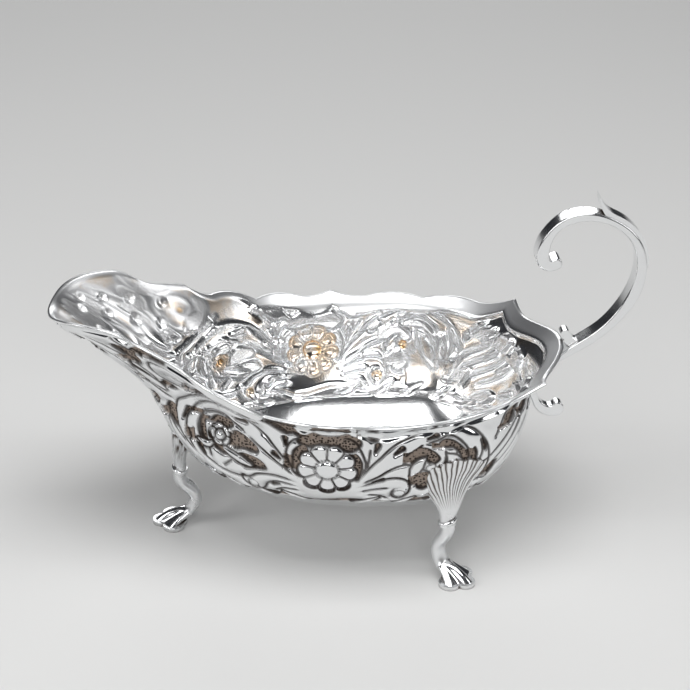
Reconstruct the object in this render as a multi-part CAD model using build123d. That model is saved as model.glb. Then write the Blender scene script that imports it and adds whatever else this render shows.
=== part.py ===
"""A three-legged silver sauce boat: raised bowl with a spout, cast flying-scroll handle, cast legs.

Frame: +X runs from the spout to the handle, +Y across the boat, +Z up. The feet stand on Z = 0 and
the origin is under the middle of the boat's box. All sizes are millimetres.
"""
from build123d import *
from math import atan2, cos, degrees, exp, pi, radians, sin, sqrt, tan
import os

# ---------------------------------------------------------------- bowl: driving dimensions
SHEET = 1.0                   # thickness of the raised silver sheet
MIDDLE_X = 8.0                # where the bowl is widest
BOTTOM_HEIGHT = 17.0          # underside of the flat oval bottom above the table
NECK_HEIGHT = 50.0            # where the belly ends and the flange begins
BOTTOM_HALF_WIDTH = 16.0
NECK_HALF_WIDTH = 39.6
BOTTOM_NOSE = 24.0            # reach of the bottom oval towards the spout
NECK_NOSE = 58.5              # reach of the neck towards the spout
BOTTOM_TAIL = 38.0            # reach of the bottom oval towards the handle
NECK_TAIL = 56.4              # reach of the neck towards the handle
FLANGE_RADIUS = 8.2           # hollow curve between neck and flange
FLANGE_ANGLE = 54.5           # lean of the flange from the upright
FADE_REACH = 3.5              # further reach of the flange where it turns up into the spout's walls
SPOUT_LEAN = 0.78             # outward lean of the spout where it leaves the neck
SPOUT_SWEEP = 0.0165          # how fast that lean grows towards the lip
WAIST = 0.43                  # how much the spout is pinched in from the oval of the bowl
BLANK_RISE = 32.0             # height of the uncut bowl above the neck
WAIST_START = 24.0            # the pinch begins this far under the neck
WAIST_SPAN = 38.0             # height over which the pinch grows to its full depth
LIP_RISE = 22.0               # height above the neck where the spout begins to widen towards its lip
LIP_SPAN = 10.0
LIP_WIDENING = 0.05
TAIL_SPREAD = 0.10            # extra fullness of the belly beside the handle
BELLY_SHARES = (0, 0.06, 0.2, 0.4, 0.62, 0.85, 1)         # belly sections, shares from bottom to neck
RIM_SHARES = (0.06, 0.12, 0.19, 0.25, 0.33, 0.41, 0.48, 0.58, 0.7, 0.84, 1)    # the same, neck to blank's edge
OVERRUN = 1.0                 # how far the hollow runs past the uncut bowl's edge
SECTION_POINTS = 36           # points on each section of the bowl
SEAM = 3.5                    # point spacings from the spout to where each section's curve closes

# cut edge of the rim, one half, from the spout lip to the back: (x, y)
LIP_REACH = 88.5
LIP_POINTS = [(2.3, 10.3), (8.5, 16.8), (18.5, 21.1), (28.5, 22.4)]       # x is measured back from the lip
FIRST_PEAK = (9.0 - NECK_NOSE, NECK_HALF_WIDTH - 10.8)
FIRST_NOTCH = (-26.0, NECK_HALF_WIDTH - 1.2)
MIDDLE_PEAK = (-1.5, NECK_HALF_WIDTH + 5.6)
SECOND_NOTCH = (28.5, NECK_HALF_WIDTH + 1.0)
REAR_CORNER = (NECK_TAIL + 0.4, NECK_HALF_WIDTH - 11.2)
BACK_HOLLOW = (NECK_TAIL + 2.6, 19.5)
BACK_REACH = NECK_TAIL + 10.4
BRACKET_SWELL = 1.9           # rise of a bracket's full curve over its chord
BRACKET_DIP = 0.5             # depth of its hollow curve near a peak
BRACKET_SPLIT = 0.62          # share of the chord that the full curve takes

# ---------------------------------------------------------------- legs: driving dimensions
SEAT_HEIGHT = 30.0            # height of the belly where each knee is centred
REAR_LEG_STATION = 118.5      # degrees round the belly from the spout
REAR_LEG_TURN = 40.0          # degrees that a rear leg points away from the boat's long axis
FRONT_OVERHANG = 3.3          # collar centre out from the belly at seat height, front leg
REAR_OVERHANG = 0.6           # the same on a rear leg
FRONT_KNEE_TOP = 40.6         # height of the front knee's scalloped edge
REAR_KNEE_TOP = 43.6          # the same on a rear leg
KNEE_HALF_WIDTH = 10.0
KNEE_COVER = 1.2              # how far the knee stands proud of the belly
KNEE_DEPTH = 3.4              # half depth of the knee's blank at the top, most of it cut away by the belly
KNEE_SECTIONS = 5             # sections of the knee above its stem
STEM_SHARE = 0.04             # share of the knee's height that stays as slender as its stem
SPREAD_SHARE = 0.76           # share of the height over which it then spreads to its full width
STEM_SWELL = 0.3              # how far the knee swells out over its stem before it follows the belly
FLUTE_START = 0.5             # share of the height at which the flutes reach their full depth
FAN_MARGIN = 1.0              # extra height of the knee's blank, cut away by the scallops
KNEE_FLUTES = 18
FLUTE_DEPTH = 0.04            # depth of a flute as a share of the knee's half width there
SCALLOPS = 7                  # lobes along the knee's top edge
SCALLOP_RISE = 0.7
FAN_RADIUS = 14.5             # radius of the arc that the scallops stand on
FAN_SPREAD = 54.0             # degrees of that arc each side of its top
COLLAR_HEIGHT = 19.6          # middle of the collar above the table
COLLAR_HALF_DEPTH = 2.7
COLLAR_HALF_WIDTH = 3.5
COLLAR_THICKNESS = 1.5
COLLAR_ROUND = 0.6            # rounding of the collar's rim
COLLAR_TILT = 14.0            # degrees that the collar's outer side is raised
STEM_HALF_DEPTH = 2.0         # knee and shank where they meet the collar
STEM_HALF_WIDTH = 2.8
SHANK_HALF_DEPTH = 2.0
SHANK_HALF_WIDTH = 2.6
SHANK_SECTIONS = 5            # sections of the shank between collar and ankle
FRONT_BOW = 4.3               # how far the shank bows inwards from the collar's centre, front leg
REAR_BOW = 2.5                # the same on a rear leg
BOW_SHARE = 0.55              # where on its way down the shank bows furthest
ANKLE_SET = 1.7               # ankle's distance outwards from the shank's furthest bow
ANKLE_HEIGHT = 4.4
ANKLE_LEAN = 42.0             # lean of the leg at the ankle, in degrees from the upright
ANKLE_HALF_DEPTH = 1.8
ANKLE_HALF_WIDTH = 2.9
FRONT_FOOT_FORWARD = 2.2      # foot centre out from the collar centre, front leg
REAR_FOOT_FORWARD = 3.9       # the same on a rear leg
TOE_REACH = 6.6
SIDE_TOE_REACH = 6.6
NOTCH_REACH = 4.6
HEEL_REACH = 4.2
SIDE_TOE_ANGLE = 82.0
NOTCH_ANGLE = 41.0
SOLE_THICKNESS = 1.3
INSTEP_SCALE = 0.86           # size of the instep's foot against the sole
INSTEP_TAPER = 0.7            # the same half way up, against its own foot
INSTEP_POINTS = 24

# ---------------------------------------------------------------- handle: driving dimensions
STRAP_HALF_WIDTH = 2.9        # half the width of the handle across the boat
STRAP_EDGE = 0.5              # rounding of the handle's long edges
SCROLL_HALF_WIDTH = 1.7       # half the width of the two small scrolls
ROOT_SINK = 4.0               # how far the blanks run into the belly before they are cut to it

# Outlines in the middle plane as (outwards from the neck's back, height above the neck)
STRAP_OUTER = [(3.2, -2.4), (3.9, 0.9), (6.2, 4.2), (13.2, 9.2), (21.1, 14.5), (27.8, 21.5), (32.3, 29.5),
               (33.4, 38.0), (32.0, 44.2), (28.3, 49.8), (22.4, 53.9), (15.1, 56.1), (8.0, 54.9),
               (2.4, 49.8), (-0.2, 44.3), (0.0, 40.0), (3.0, 37.6), (6.2, 38.0)]
CURL_END = (7.5, 40.0)
STRAP_INNER = [(5.6, 41.6), (3.9, 41.3), (3.5, 43.8), (3.9, 46.6), (5.9, 50.4), (9.6, 52.7), (14.8, 53.5),
               (20.3, 52.5), (25.8, 49.1), (29.2, 44.0), (30.3, 38.3), (29.2, 31.6), (25.8, 24.3),
               (20.1, 17.5), (13.8, 12.9), (8.2, 8.2), (2.4, 3.0)]
LEAF_OUTER = [(33.7, 38.5), (32.9, 44.3), (29.4, 50.5), (24.4, 54.5), (21.2, 56.2), (18.9, 58.4), (17.2, 61.5)]
LEAF_BACK = [(17.2, 61.5), (17.6, 58.6), (19.6, 54.9)]
LEAF_INNER = [(19.6, 54.9), (23.2, 52.4), (27.6, 48.6), (31.0, 43.0), (32.2, 38.0)]
TAIL_OUTER = [(3.2, -2.4), (3.6, -5.0), (5.0, -7.8), (8.0, -9.2), (9.3, -8.0)]
TAIL_KNOB = (12.2, -9.6)
TAIL_INNER = [(9.6, -12.9), (6.6, -12.5), (3.6, -10.4), (1.9, -7.0), (0.6, -4.6)]
SUPPORT_OUTER = [(16.4, 13.3), (13.6, 14.0), (12.1, 15.9)]
SUPPORT_KNOB = (10.6, 17.2)
SUPPORT_INNER = [(9.2, 15.9), (10.1, 13.8), (11.4, 12.2), (13.4, 11.3)]

# leg: (station round the belly, direction in plan, overhang); the spout points along 180 degrees
LEGS = {
    "front": (0.0, 180.0, FRONT_OVERHANG),
    "rear_left": (-REAR_LEG_STATION, -REAR_LEG_TURN, REAR_OVERHANG),
}
# stance: (height of the knee's edge, how far the shank bows inwards, how far out the foot stands)
STANCES = {
    "front": (FRONT_KNEE_TOP, FRONT_BOW, FRONT_FOOT_FORWARD),
    "rear_left": (REAR_KNEE_TOP, REAR_BOW, REAR_FOOT_FORWARD),
}


# ---------------------------------------------------------------- form of the bowl
def smooth(share):
    share = max(0.0, min(1.0, share))
    return share * share * (3 - 2 * share)


def belly(z, start, end, fullness, exponent):
    """Reach of the belly at a height, from its bottom value to its neck value."""
    share = max(0.0, min(1.0, (z - BOTTOM_HEIGHT) / (NECK_HEIGHT - BOTTOM_HEIGHT)))
    return start + (end - start) * (1 - (1 - share) ** fullness) ** exponent


def flare(height):
    """Outward reach of the flange at a height above the neck: a hollow arc, then a straight cone."""
    if height <= 0:
        return 0.0
    cone_limit = 1.52 * FLANGE_RADIUS
    lean = tan(radians(FLANGE_ANGLE))
    steep = FADE_REACH * (1 - exp(-max(0.0, height - cone_limit) * lean / FADE_REACH))
    height = min(height, cone_limit)
    arc_height = FLANGE_RADIUS * sin(radians(FLANGE_ANGLE))
    if height < arc_height:
        return FLANGE_RADIUS - sqrt(FLANGE_RADIUS ** 2 - height ** 2)
    arc_reach = FLANGE_RADIUS * (1 - cos(radians(FLANGE_ANGLE)))
    return arc_reach + (height - arc_height) * lean + steep


def half_width(z):
    return belly(z, BOTTOM_HALF_WIDTH, NECK_HALF_WIDTH, 2.2, 0.6) + flare(z - NECK_HEIGHT - 0.5)


def tail_reach(z):
    return belly(z, BOTTOM_TAIL, NECK_TAIL, 1.8, 0.57) + flare(z - NECK_HEIGHT - 1.5)


def nose_reach(z):
    rise = max(0.0, z - NECK_HEIGHT)
    return belly(z, BOTTOM_NOSE, NECK_NOSE, 1.2, 0.5) + SPOUT_LEAN * rise + SPOUT_SWEEP * rise ** 2


def waist(z):
    rise = z - NECK_HEIGHT
    return WAIST * smooth((rise + WAIST_START) / WAIST_SPAN) - LIP_WIDENING * smooth((rise - LIP_RISE) / LIP_SPAN)


def belly_point(z, station):
    """Point of the bowl's outside at a height. Station is an angle: 0 at the spout, pi at the handle."""
    along, across = cos(station), sin(station)
    if along > 0:
        pinch = 1 - waist(z) * smooth(min(1.0, along / 0.78) ** 2.6)
        return MIDDLE_X - (MIDDLE_X + nose_reach(z)) * along, half_width(z) * across * pinch
    full = 1 + TAIL_SPREAD * smooth(-along / 0.7) * (1 - smooth((z - NECK_HEIGHT) / 7))
    return MIDDLE_X - (tail_reach(z) - MIDDLE_X) * along, half_width(z) * across * full


def belly_normal(z, station):
    step = 0.02
    x0, y0 = belly_point(z, station - step)
    x1, y1 = belly_point(z, station + step)
    low_x, low_y = belly_point(max(z - step, BOTTOM_HEIGHT), station)
    high_x, high_y = belly_point(z + step, station)
    rise = z + step - max(z - step, BOTTOM_HEIGHT)
    around = Vector(x1 - x0, y1 - y0, 0)
    upward = Vector(high_x - low_x, high_y - low_y, rise)
    return upward.cross(around).normalized()


def section(z, inset):
    """Closed outline of the bowl at a height, moved in by a sheet thickness square to the surface."""
    points = []
    for index in range(SECTION_POINTS):
        station = 2 * pi * (index + SEAM) / SECTION_POINTS
        level = z
        if inset:
            for _ in range(4):
                level = max(BOTTOM_HEIGHT + 0.05, z + inset * belly_normal(level, station).Z)
        x, y = belly_point(level, station)
        if inset:
            normal = belly_normal(level, station)
            x, y = x - inset * normal.X, y - inset * normal.Y
        points.append((x, y, z))
    return Face(Wire(Edge.make_spline(points, periodic=True)))


def bowl_body(inset=0.0):
    depth = NECK_HEIGHT - BOTTOM_HEIGHT
    levels = [BOTTOM_HEIGHT + depth * share for share in BELLY_SHARES]
    levels += [NECK_HEIGHT + BLANK_RISE * share for share in RIM_SHARES]
    if inset:
        levels[0] = BOTTOM_HEIGHT + inset
        levels[-1] += OVERRUN
    return Solid.make_loft([section(z, inset).outer_wire() for z in levels])


# ---------------------------------------------------------------- cut edge of the rim
def bracket(notch, peak):
    """Bracket curve of a cut edge: full beside the notch, hollow up to the pointed peak."""
    start, end = Vector(*notch), Vector(*peak)
    chord = end - start
    side = Vector(-chord.Y, chord.X).normalized()
    if side.Y < 0:
        side = side * -1
    split = start + chord * BRACKET_SPLIT
    crest = start + chord * (BRACKET_SPLIT / 2) + side * BRACKET_SWELL
    dip = split + chord * ((1 - BRACKET_SPLIT) / 2) - side * BRACKET_DIP
    return [Edge.make_three_point_arc(start, crest, split), Edge.make_three_point_arc(split, dip, end)]


def rim_outline():
    lip = [(-LIP_REACH, 0)] + [(x - LIP_REACH, y) for x, y in LIP_POINTS] + [FIRST_PEAK]
    edges = [Edge.make_spline([Vector(*p) for p in lip], tangents=[Vector(0, 1), Vector(4, 3)])]
    edges += bracket(FIRST_NOTCH, FIRST_PEAK) + bracket(FIRST_NOTCH, MIDDLE_PEAK)
    edges += bracket(SECOND_NOTCH, MIDDLE_PEAK) + bracket(SECOND_NOTCH, REAR_CORNER)
    back = [REAR_CORNER, BACK_HOLLOW, (BACK_REACH, 0)]
    edges.append(Edge.make_spline([Vector(*p) for p in back],
                                  tangents=[Vector(-0.3, -1), Vector(0, -1)]))
    edges += [edge.mirror(Plane.XZ) for edge in edges]
    return Face(Wire.combine(edges)[0])


def make_bowl(outside):
    shell = outside - bowl_body(SHEET)
    return shell & Solid.extrude(rim_outline(), Vector(0, 0, 2 * (NECK_HEIGHT + BLANK_RISE)))


# ---------------------------------------------------------------- handle
def strap_point(point):
    """Point of the handle's middle plane, set out from the back of the neck."""
    return Vector(tail_reach(NECK_HEIGHT) + point[0], 0, NECK_HEIGHT + point[1])


def run(points):
    return Edge.make_spline([strap_point(p) for p in points])


def strap_solid(edges, half_width_across, rounding=0.0):
    face = Face(Wire.combine(edges)[0])
    depth = Vector(0, 2 * half_width_across, 0)
    solid = Solid.extrude(face, depth).translate(Vector(0, -half_width_across, 0))
    if rounding:
        rims = [e for e in solid.edges() if abs(e.center().Y) > 0.99 * half_width_across]
        solid = solid.fillet(rounding, rims)
    return solid


def sunk_root(high, low):
    """Straight edges that carry a blank from its two last points into the belly."""
    inside = -ROOT_SINK
    corners = [strap_point(high), strap_point((inside, high[1])), strap_point((inside, low[1])), strap_point(low)]
    return [Edge.make_line(a, b) for a, b in zip(corners, corners[1:])]


def make_handle_scroll(outside):
    curl = Edge.make_three_point_arc(strap_point(STRAP_OUTER[-1]), strap_point(CURL_END),
                                     strap_point(STRAP_INNER[0]))
    edges = [run(STRAP_OUTER), curl, run(STRAP_INNER)] + sunk_root(STRAP_INNER[-1], STRAP_OUTER[0])
    return strap_solid(edges, STRAP_HALF_WIDTH, STRAP_EDGE) - outside


def make_handle_leaf(scroll):
    edges = [run(LEAF_OUTER), run(LEAF_BACK), run(LEAF_INNER),
             Edge.make_line(strap_point(LEAF_INNER[-1]), strap_point(LEAF_OUTER[0]))]
    return strap_solid(edges, STRAP_HALF_WIDTH - STRAP_EDGE) - scroll


def make_tail_scroll(outside):
    knob = Edge.make_three_point_arc(strap_point(TAIL_OUTER[-1]), strap_point(TAIL_KNOB),
                                     strap_point(TAIL_INNER[0]))
    edges = [run(TAIL_OUTER), knob, run(TAIL_INNER)] + sunk_root(TAIL_INNER[-1], TAIL_OUTER[0])
    return strap_solid(edges, SCROLL_HALF_WIDTH, STRAP_EDGE) - outside


def make_support_scroll(bowl, scroll):
    knob = Edge.make_three_point_arc(strap_point(SUPPORT_OUTER[-1]), strap_point(SUPPORT_KNOB),
                                     strap_point(SUPPORT_INNER[0]))
    foot = Edge.make_line(strap_point(SUPPORT_INNER[-1]), strap_point(SUPPORT_OUTER[0]))
    edges = [run(SUPPORT_OUTER), knob, run(SUPPORT_INNER), foot]
    return strap_solid(edges, SCROLL_HALF_WIDTH) - bowl - scroll


# ---------------------------------------------------------------- legs
def leg_place(station, turn, overhang):
    """Collar axis of a leg on the table, turned so that local +X points outwards."""
    x, y = belly_point(SEAT_HEIGHT, radians(station))
    out = Vector(cos(radians(turn)), sin(radians(turn)))
    return Pos(x + overhang * out.X, y + overhang * out.Y, 0) * Rot(0, 0, turn)


def knee_turn(station, turn):
    """Degrees from the way the leg points to the way the belly faces behind its knee."""
    out = belly_normal(SEAT_HEIGHT, radians(station))
    return (degrees(atan2(out.Y, out.X)) - turn + 180) % 360 - 180


def belly_offset(z, station, facing, overhang):
    """How far the belly at a height stands out from the collar axis, the way the knee faces."""
    x0, y0 = belly_point(SEAT_HEIGHT, radians(station))
    x, y = belly_point(z, radians(station))
    return (x - x0) * cos(radians(facing)) + (y - y0) * sin(radians(facing)) - overhang


def collar_plane(rise=0.0):
    tilt = radians(COLLAR_TILT)
    normal = Vector(-sin(tilt), 0, cos(tilt))
    return Plane(Vector(0, 0, COLLAR_HEIGHT) + normal * rise, x_dir=Vector(cos(tilt), 0, sin(tilt)), z_dir=normal)


def oval(plane, half_depth, half_width, flute=0.0, start=0.0, count=12):
    """Closed oval, or a fluted oval, on a plane whose X points outwards."""
    count = 4 * KNEE_FLUTES if flute else count
    points = []
    for index in range(count):
        angle = start + 2 * pi * index / count
        ripple = 1 + flute * cos(KNEE_FLUTES * angle)
        points.append(plane.from_local_coords(
            Vector(half_depth * ripple * cos(angle), half_width * ripple * sin(angle))))
    return Wire(Edge.make_spline(points, periodic=True))


def fan_blank(knee_top):
    """Upright slab with a scalloped top that trims the knee to its shell edge."""
    middle = knee_top - SCALLOP_RISE - FAN_RADIUS
    spread = radians(FAN_SPREAD)
    edges = []
    for index in range(SCALLOPS):
        angles = [spread - 2 * spread * (index + part) / SCALLOPS for part in (0, 0.5, 1)]
        radii = (FAN_RADIUS, FAN_RADIUS + SCALLOP_RISE, FAN_RADIUS)
        arc = [Vector(0, -r * sin(a), middle + r * cos(a)) for r, a in zip(radii, angles)]
        edges.append(Edge.make_three_point_arc(*arc))
    left, right = edges[0] @ 0, edges[-1] @ 1
    corners = [right, Vector(0, right.Y, 0), Vector(0, left.Y, 0), left]
    edges += [Edge.make_line(a, b) for a, b in zip(corners, corners[1:])]
    slab = Solid.extrude(Face(Wire.combine(edges)[0]), Vector(6 * KNEE_DEPTH, 0, 0))
    return slab.translate(Vector(-3 * KNEE_DEPTH, 0, 0))


def make_knee(leg, knee_top, outside):
    """Fluted shell that spreads from the collar onto the belly and faces the way the belly does."""
    station, turn, overhang = leg
    twist = knee_turn(station, turn)
    aside = Rot(0, 0, twist)
    wires = [oval(collar_plane(COLLAR_THICKNESS / 2), STEM_HALF_DEPTH, STEM_HALF_WIDTH, start=radians(twist))]
    rise = knee_top + FAN_MARGIN - COLLAR_HEIGHT
    for index in range(1, KNEE_SECTIONS + 1):
        share = index / KNEE_SECTIONS
        z = COLLAR_HEIGHT + rise * share
        spread = smooth((share - STEM_SHARE) / SPREAD_SHARE)
        half_width_here = STEM_HALF_WIDTH + (KNEE_HALF_WIDTH - STEM_HALF_WIDTH) * spread
        half_depth = STEM_HALF_DEPTH + (KNEE_DEPTH - STEM_HALF_DEPTH) * spread
        outer = max(STEM_HALF_DEPTH + STEM_SWELL,
                    belly_offset(z, station, turn + twist, overhang) + KNEE_COVER)
        plane = aside * Plane((outer - half_depth, 0, z))
        wires.append(oval(plane, half_depth, half_width_here, FLUTE_DEPTH * smooth(share / FLUTE_START)))
    knee = Solid.make_loft(wires) & (aside * fan_blank(knee_top))
    return leg_place(*leg) * knee - outside


def make_collar():
    plane = collar_plane(-COLLAR_THICKNESS / 2)
    disc = extrude(plane * Ellipse(COLLAR_HALF_DEPTH, COLLAR_HALF_WIDTH), COLLAR_THICKNESS)
    return fillet(disc.edges().filter_by(GeomType.ELLIPSE), COLLAR_ROUND)


def leaning_plane(x, z, degrees_back):
    """Plane whose upright leans back from the toe, its X towards the toe."""
    lean = radians(degrees_back)
    return Plane((x, 0, z), x_dir=Vector(cos(lean), 0, sin(lean)), z_dir=Vector(-sin(lean), 0, cos(lean)))


def ankle_plane(bow, forward=0.0):
    return leaning_plane(ANKLE_SET - bow - forward, ANKLE_HEIGHT, ANKLE_LEAN)


def shank_spine(bow):
    """Middle line of the shank, from the collar in to its furthest bow and out to the ankle."""
    top, ankle = collar_plane(-COLLAR_THICKNESS / 2).origin, ankle_plane(bow)
    furthest = Vector(-bow, 0, top.Z - BOW_SHARE * (top.Z - ANKLE_HEIGHT))
    down = collar_plane().z_dir * -1
    return Edge.make_spline([top, furthest, ankle.origin], tangents=[down, ankle.z_dir * -1])


def make_shank(bow):
    """Slender leg that bows inwards between collar and ankle, each section square to its middle line."""
    spine = shank_spine(bow)
    wires = [oval(collar_plane(-COLLAR_THICKNESS / 2), STEM_HALF_DEPTH, STEM_HALF_WIDTH)]
    for index in range(1, SHANK_SECTIONS + 1):
        share = index / (SHANK_SECTIONS + 1)
        up = (spine % share) * -1
        plane = Plane(spine @ share, x_dir=Vector(up.Z, 0, -up.X), z_dir=up)
        wires.append(oval(plane, SHANK_HALF_DEPTH, SHANK_HALF_WIDTH))
    wires.append(oval(ankle_plane(bow), ANKLE_HALF_DEPTH, ANKLE_HALF_WIDTH))
    return Solid.make_loft(wires)


def polar(reach, angle, z=0.0):
    return Vector(reach * cos(radians(angle)), reach * sin(radians(angle)), z)


def trefoil(z, scale=1.0):
    """Outline of the foot: a middle toe, two side toes and a heel, parted by notches."""
    rear_angle = 180 - NOTCH_ANGLE
    corners = [(NOTCH_REACH, NOTCH_ANGLE), (NOTCH_REACH, -NOTCH_ANGLE),
               (HEEL_REACH, -rear_angle), (HEEL_REACH, rear_angle)]
    tips = [(TOE_REACH, 0), (SIDE_TOE_REACH, -SIDE_TOE_ANGLE), (HEEL_REACH, 180), (SIDE_TOE_REACH, SIDE_TOE_ANGLE)]
    edges = []
    for index, (reach, angle) in enumerate(tips):
        start, end = corners[index], corners[(index + 1) % 4]
        edges.append(Edge.make_three_point_arc(polar(start[0] * scale, start[1], z), polar(reach * scale, angle, z),
                                               polar(end[0] * scale, end[1], z)))
    return Wire.combine(edges)[0]


def lobed_outline(plane, scale):
    """Softened outline of the foot for the instep that rises to the ankle."""
    lobes = [(0, TOE_REACH), (SIDE_TOE_ANGLE, SIDE_TOE_REACH), (-SIDE_TOE_ANGLE, SIDE_TOE_REACH)]
    points = []
    for index in range(INSTEP_POINTS):
        angle = 360 * index / INSTEP_POINTS - 180
        reach = HEEL_REACH if abs(angle) > SIDE_TOE_ANGLE + NOTCH_ANGLE else NOTCH_REACH
        for middle, tip in lobes:
            if abs(angle - middle) < NOTCH_ANGLE:
                reach += (tip - reach) * cos(pi / 2 * (angle - middle) / NOTCH_ANGLE) ** 2
        points.append(plane.from_local_coords(
            Vector(scale * reach * cos(radians(angle)), scale * reach * sin(radians(angle)))))
    return Wire(Edge.make_spline(points, periodic=True))


def make_foot(ankle):
    """Trefoil foot: a flat lobed sole with an instep that rises to the ankle.

    The foot is drawn about its own centre, and the ankle is given from there.
    """
    sole = Solid.extrude(Face(trefoil(0)), Vector(0, 0, SOLE_THICKNESS))
    middle = leaning_plane(ankle.origin.X / 2, (SOLE_THICKNESS + ankle.origin.Z) / 2, ANKLE_LEAN / 2)
    wires = [lobed_outline(Plane((0, 0, SOLE_THICKNESS)), INSTEP_SCALE),
             lobed_outline(middle, INSTEP_SCALE * INSTEP_TAPER),
             oval(ankle, ANKLE_HALF_DEPTH, ANKLE_HALF_WIDTH, start=pi, count=INSTEP_POINTS)]
    return sole + Solid.make_loft(wires)


if __name__ == "__main__":
    os.makedirs("parts", exist_ok=True)
    outside = bowl_body()
    bowl = make_bowl(outside)
    scroll = make_handle_scroll(outside)
    parts = {
        "bowl": bowl,
        "handle_scroll": scroll,
        "handle_leaf": make_handle_leaf(scroll),
        "handle_support_scroll": make_support_scroll(bowl, scroll),
        "handle_tail_scroll": make_tail_scroll(outside),
    }
    for name, leg in LEGS.items():
        place = leg_place(*leg)
        knee_top, bow, forward = STANCES[name]
        parts[name + "_knee"] = make_knee(leg, knee_top, outside)
        parts[name + "_collar"] = place * make_collar()
        parts[name + "_shank"] = place * make_shank(bow)
        parts[name + "_foot"] = place * Pos(forward, 0, 0) * make_foot(ankle_plane(bow, forward))
    for piece in ("knee", "collar", "shank", "foot"):
        parts["rear_right_" + piece] = parts["rear_left_" + piece].mirror(Plane.XZ)
    # the bowl is drawn about its own axes, and the whole boat is then set with its box over the origin
    boxes = [solid.bounding_box() for solid in parts.values()]
    low, high = min(box.min.X for box in boxes), max(box.max.X for box in boxes)
    for name, solid in parts.items():
        export_step(Pos(-(low + high) / 2, 0, 0) * solid, f"parts/{name}.step")
        print(name, solid.is_valid, round(solid.volume, 1), len(solid.solids()))
    print("length", round(high - low, 2), "shift", round(-(low + high) / 2, 3))
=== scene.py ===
"""Looks of a three-legged silver sauce boat: chased bowl, flying scroll handle and cast legs.

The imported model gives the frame: +X from the spout to the handle, +Y across the boat, +Z up, in metres.
Sizes of the boat's own pieces are fields in millimetres and are turned to metres where meshes are made.
"""

import logging
import math
from dataclasses import dataclass, field
from enum import Enum

import bpy
import numpy as np
from mathutils import Matrix, Vector


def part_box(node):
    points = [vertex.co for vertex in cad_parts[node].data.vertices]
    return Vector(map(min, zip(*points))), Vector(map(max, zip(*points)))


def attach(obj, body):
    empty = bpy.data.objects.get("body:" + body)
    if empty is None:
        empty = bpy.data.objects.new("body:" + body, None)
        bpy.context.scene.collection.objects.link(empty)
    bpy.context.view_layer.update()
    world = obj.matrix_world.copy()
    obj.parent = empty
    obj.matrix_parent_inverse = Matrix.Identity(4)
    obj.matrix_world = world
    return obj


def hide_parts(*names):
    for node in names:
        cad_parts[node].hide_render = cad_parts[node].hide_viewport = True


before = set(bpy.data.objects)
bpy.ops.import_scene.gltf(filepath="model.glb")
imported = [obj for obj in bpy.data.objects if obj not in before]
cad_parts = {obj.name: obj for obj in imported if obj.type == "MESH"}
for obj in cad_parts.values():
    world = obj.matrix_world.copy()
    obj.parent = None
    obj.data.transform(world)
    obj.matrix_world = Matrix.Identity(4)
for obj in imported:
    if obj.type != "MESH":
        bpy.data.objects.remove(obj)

MM = 0.001                    # metres in a millimetre
BODY = "root"                 # the boat is soldered up in one body
LOG = logging.getLogger("sauce_boat")


# ---------------------------------------------------------------- small shared tools
def linear(hex_colour: str) -> tuple[float, float, float, float]:
    """Turns an sRGB hex colour into linear RGBA.

    Args:
        hex_colour: Colour written as six hex digits.

    Returns:
        Red, green, blue and an alpha of 1, in linear light.
    """
    parts = [int(hex_colour[i:i + 2], 16) / 255 for i in (0, 2, 4)]
    red, green, blue = [c / 12.92 if c <= 0.04045 else ((c + 0.055) / 1.055) ** 2.4 for c in parts]
    return red, green, blue, 1.0


def add_node(tree: bpy.types.NodeTree, kind: str, settings: dict | None = None,
             inputs: dict | None = None) -> bpy.types.Node:
    """Adds one shader node with its settings, socket values and links.

    Args:
        tree: Node tree that gets the node.
        kind: Blender's type name of the node.
        settings: Property names and values.
        inputs: Socket names or indices, each with a value or the socket that feeds it.

    Returns:
        The new node.
    """
    node = tree.nodes.new(kind)
    for name, value in (settings or {}).items():
        setattr(node, name, value)
    for name, value in (inputs or {}).items():
        if isinstance(value, bpy.types.NodeSocket):
            tree.links.new(value, node.inputs[name])
        else:
            node.inputs[name].default_value = value
    return node


def smooth(share: np.ndarray | float) -> np.ndarray:
    """Eases a share from 0 to 1 with level ends."""
    share = np.clip(share, 0.0, 1.0)
    return share * share * (3 - 2 * share)


def through(points: np.ndarray, per_span: int) -> np.ndarray:
    """Runs a Catmull-Rom curve through control points.

    Args:
        points: Control points, one to a row.
        per_span: Samples between one control point and the next.

    Returns:
        Points along the curve, one to a row.
    """
    ends = np.vstack([2 * points[0] - points[1], points, 2 * points[-1] - points[-2]])
    share = (np.arange(per_span) / per_span)[:, None]
    spans = []
    for p0, p1, p2, p3 in zip(ends, ends[1:], ends[2:], ends[3:]):
        spans.append(0.5 * (2 * p1 + (p2 - p0) * share + (2 * p0 - 5 * p1 + 4 * p2 - p3) * share ** 2
                            + (3 * p1 - p0 - 3 * p2 + p3) * share ** 3))
    return np.vstack(spans + [points[-1:]])


def grid_faces(rows: int, columns: int, flip: bool, start: int) -> np.ndarray:
    """Quads of a band of points stored row by row, whose last column joins its first.

    Args:
        rows: Number of rows.
        columns: Points in each row.
        flip: Whether the faces turn the other way.
        start: Index of the grid's first point.

    Returns:
        Four point indices to a row.
    """
    row, column = np.meshgrid(np.arange(rows - 1), np.arange(columns), indexing="ij")
    beside = (column + 1) % columns
    corners = [row * columns + column, row * columns + beside, (row + 1) * columns + beside,
               (row + 1) * columns + column]
    if flip:
        corners.reverse()
    return start + np.stack(corners, -1).reshape(-1, 4)


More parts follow.
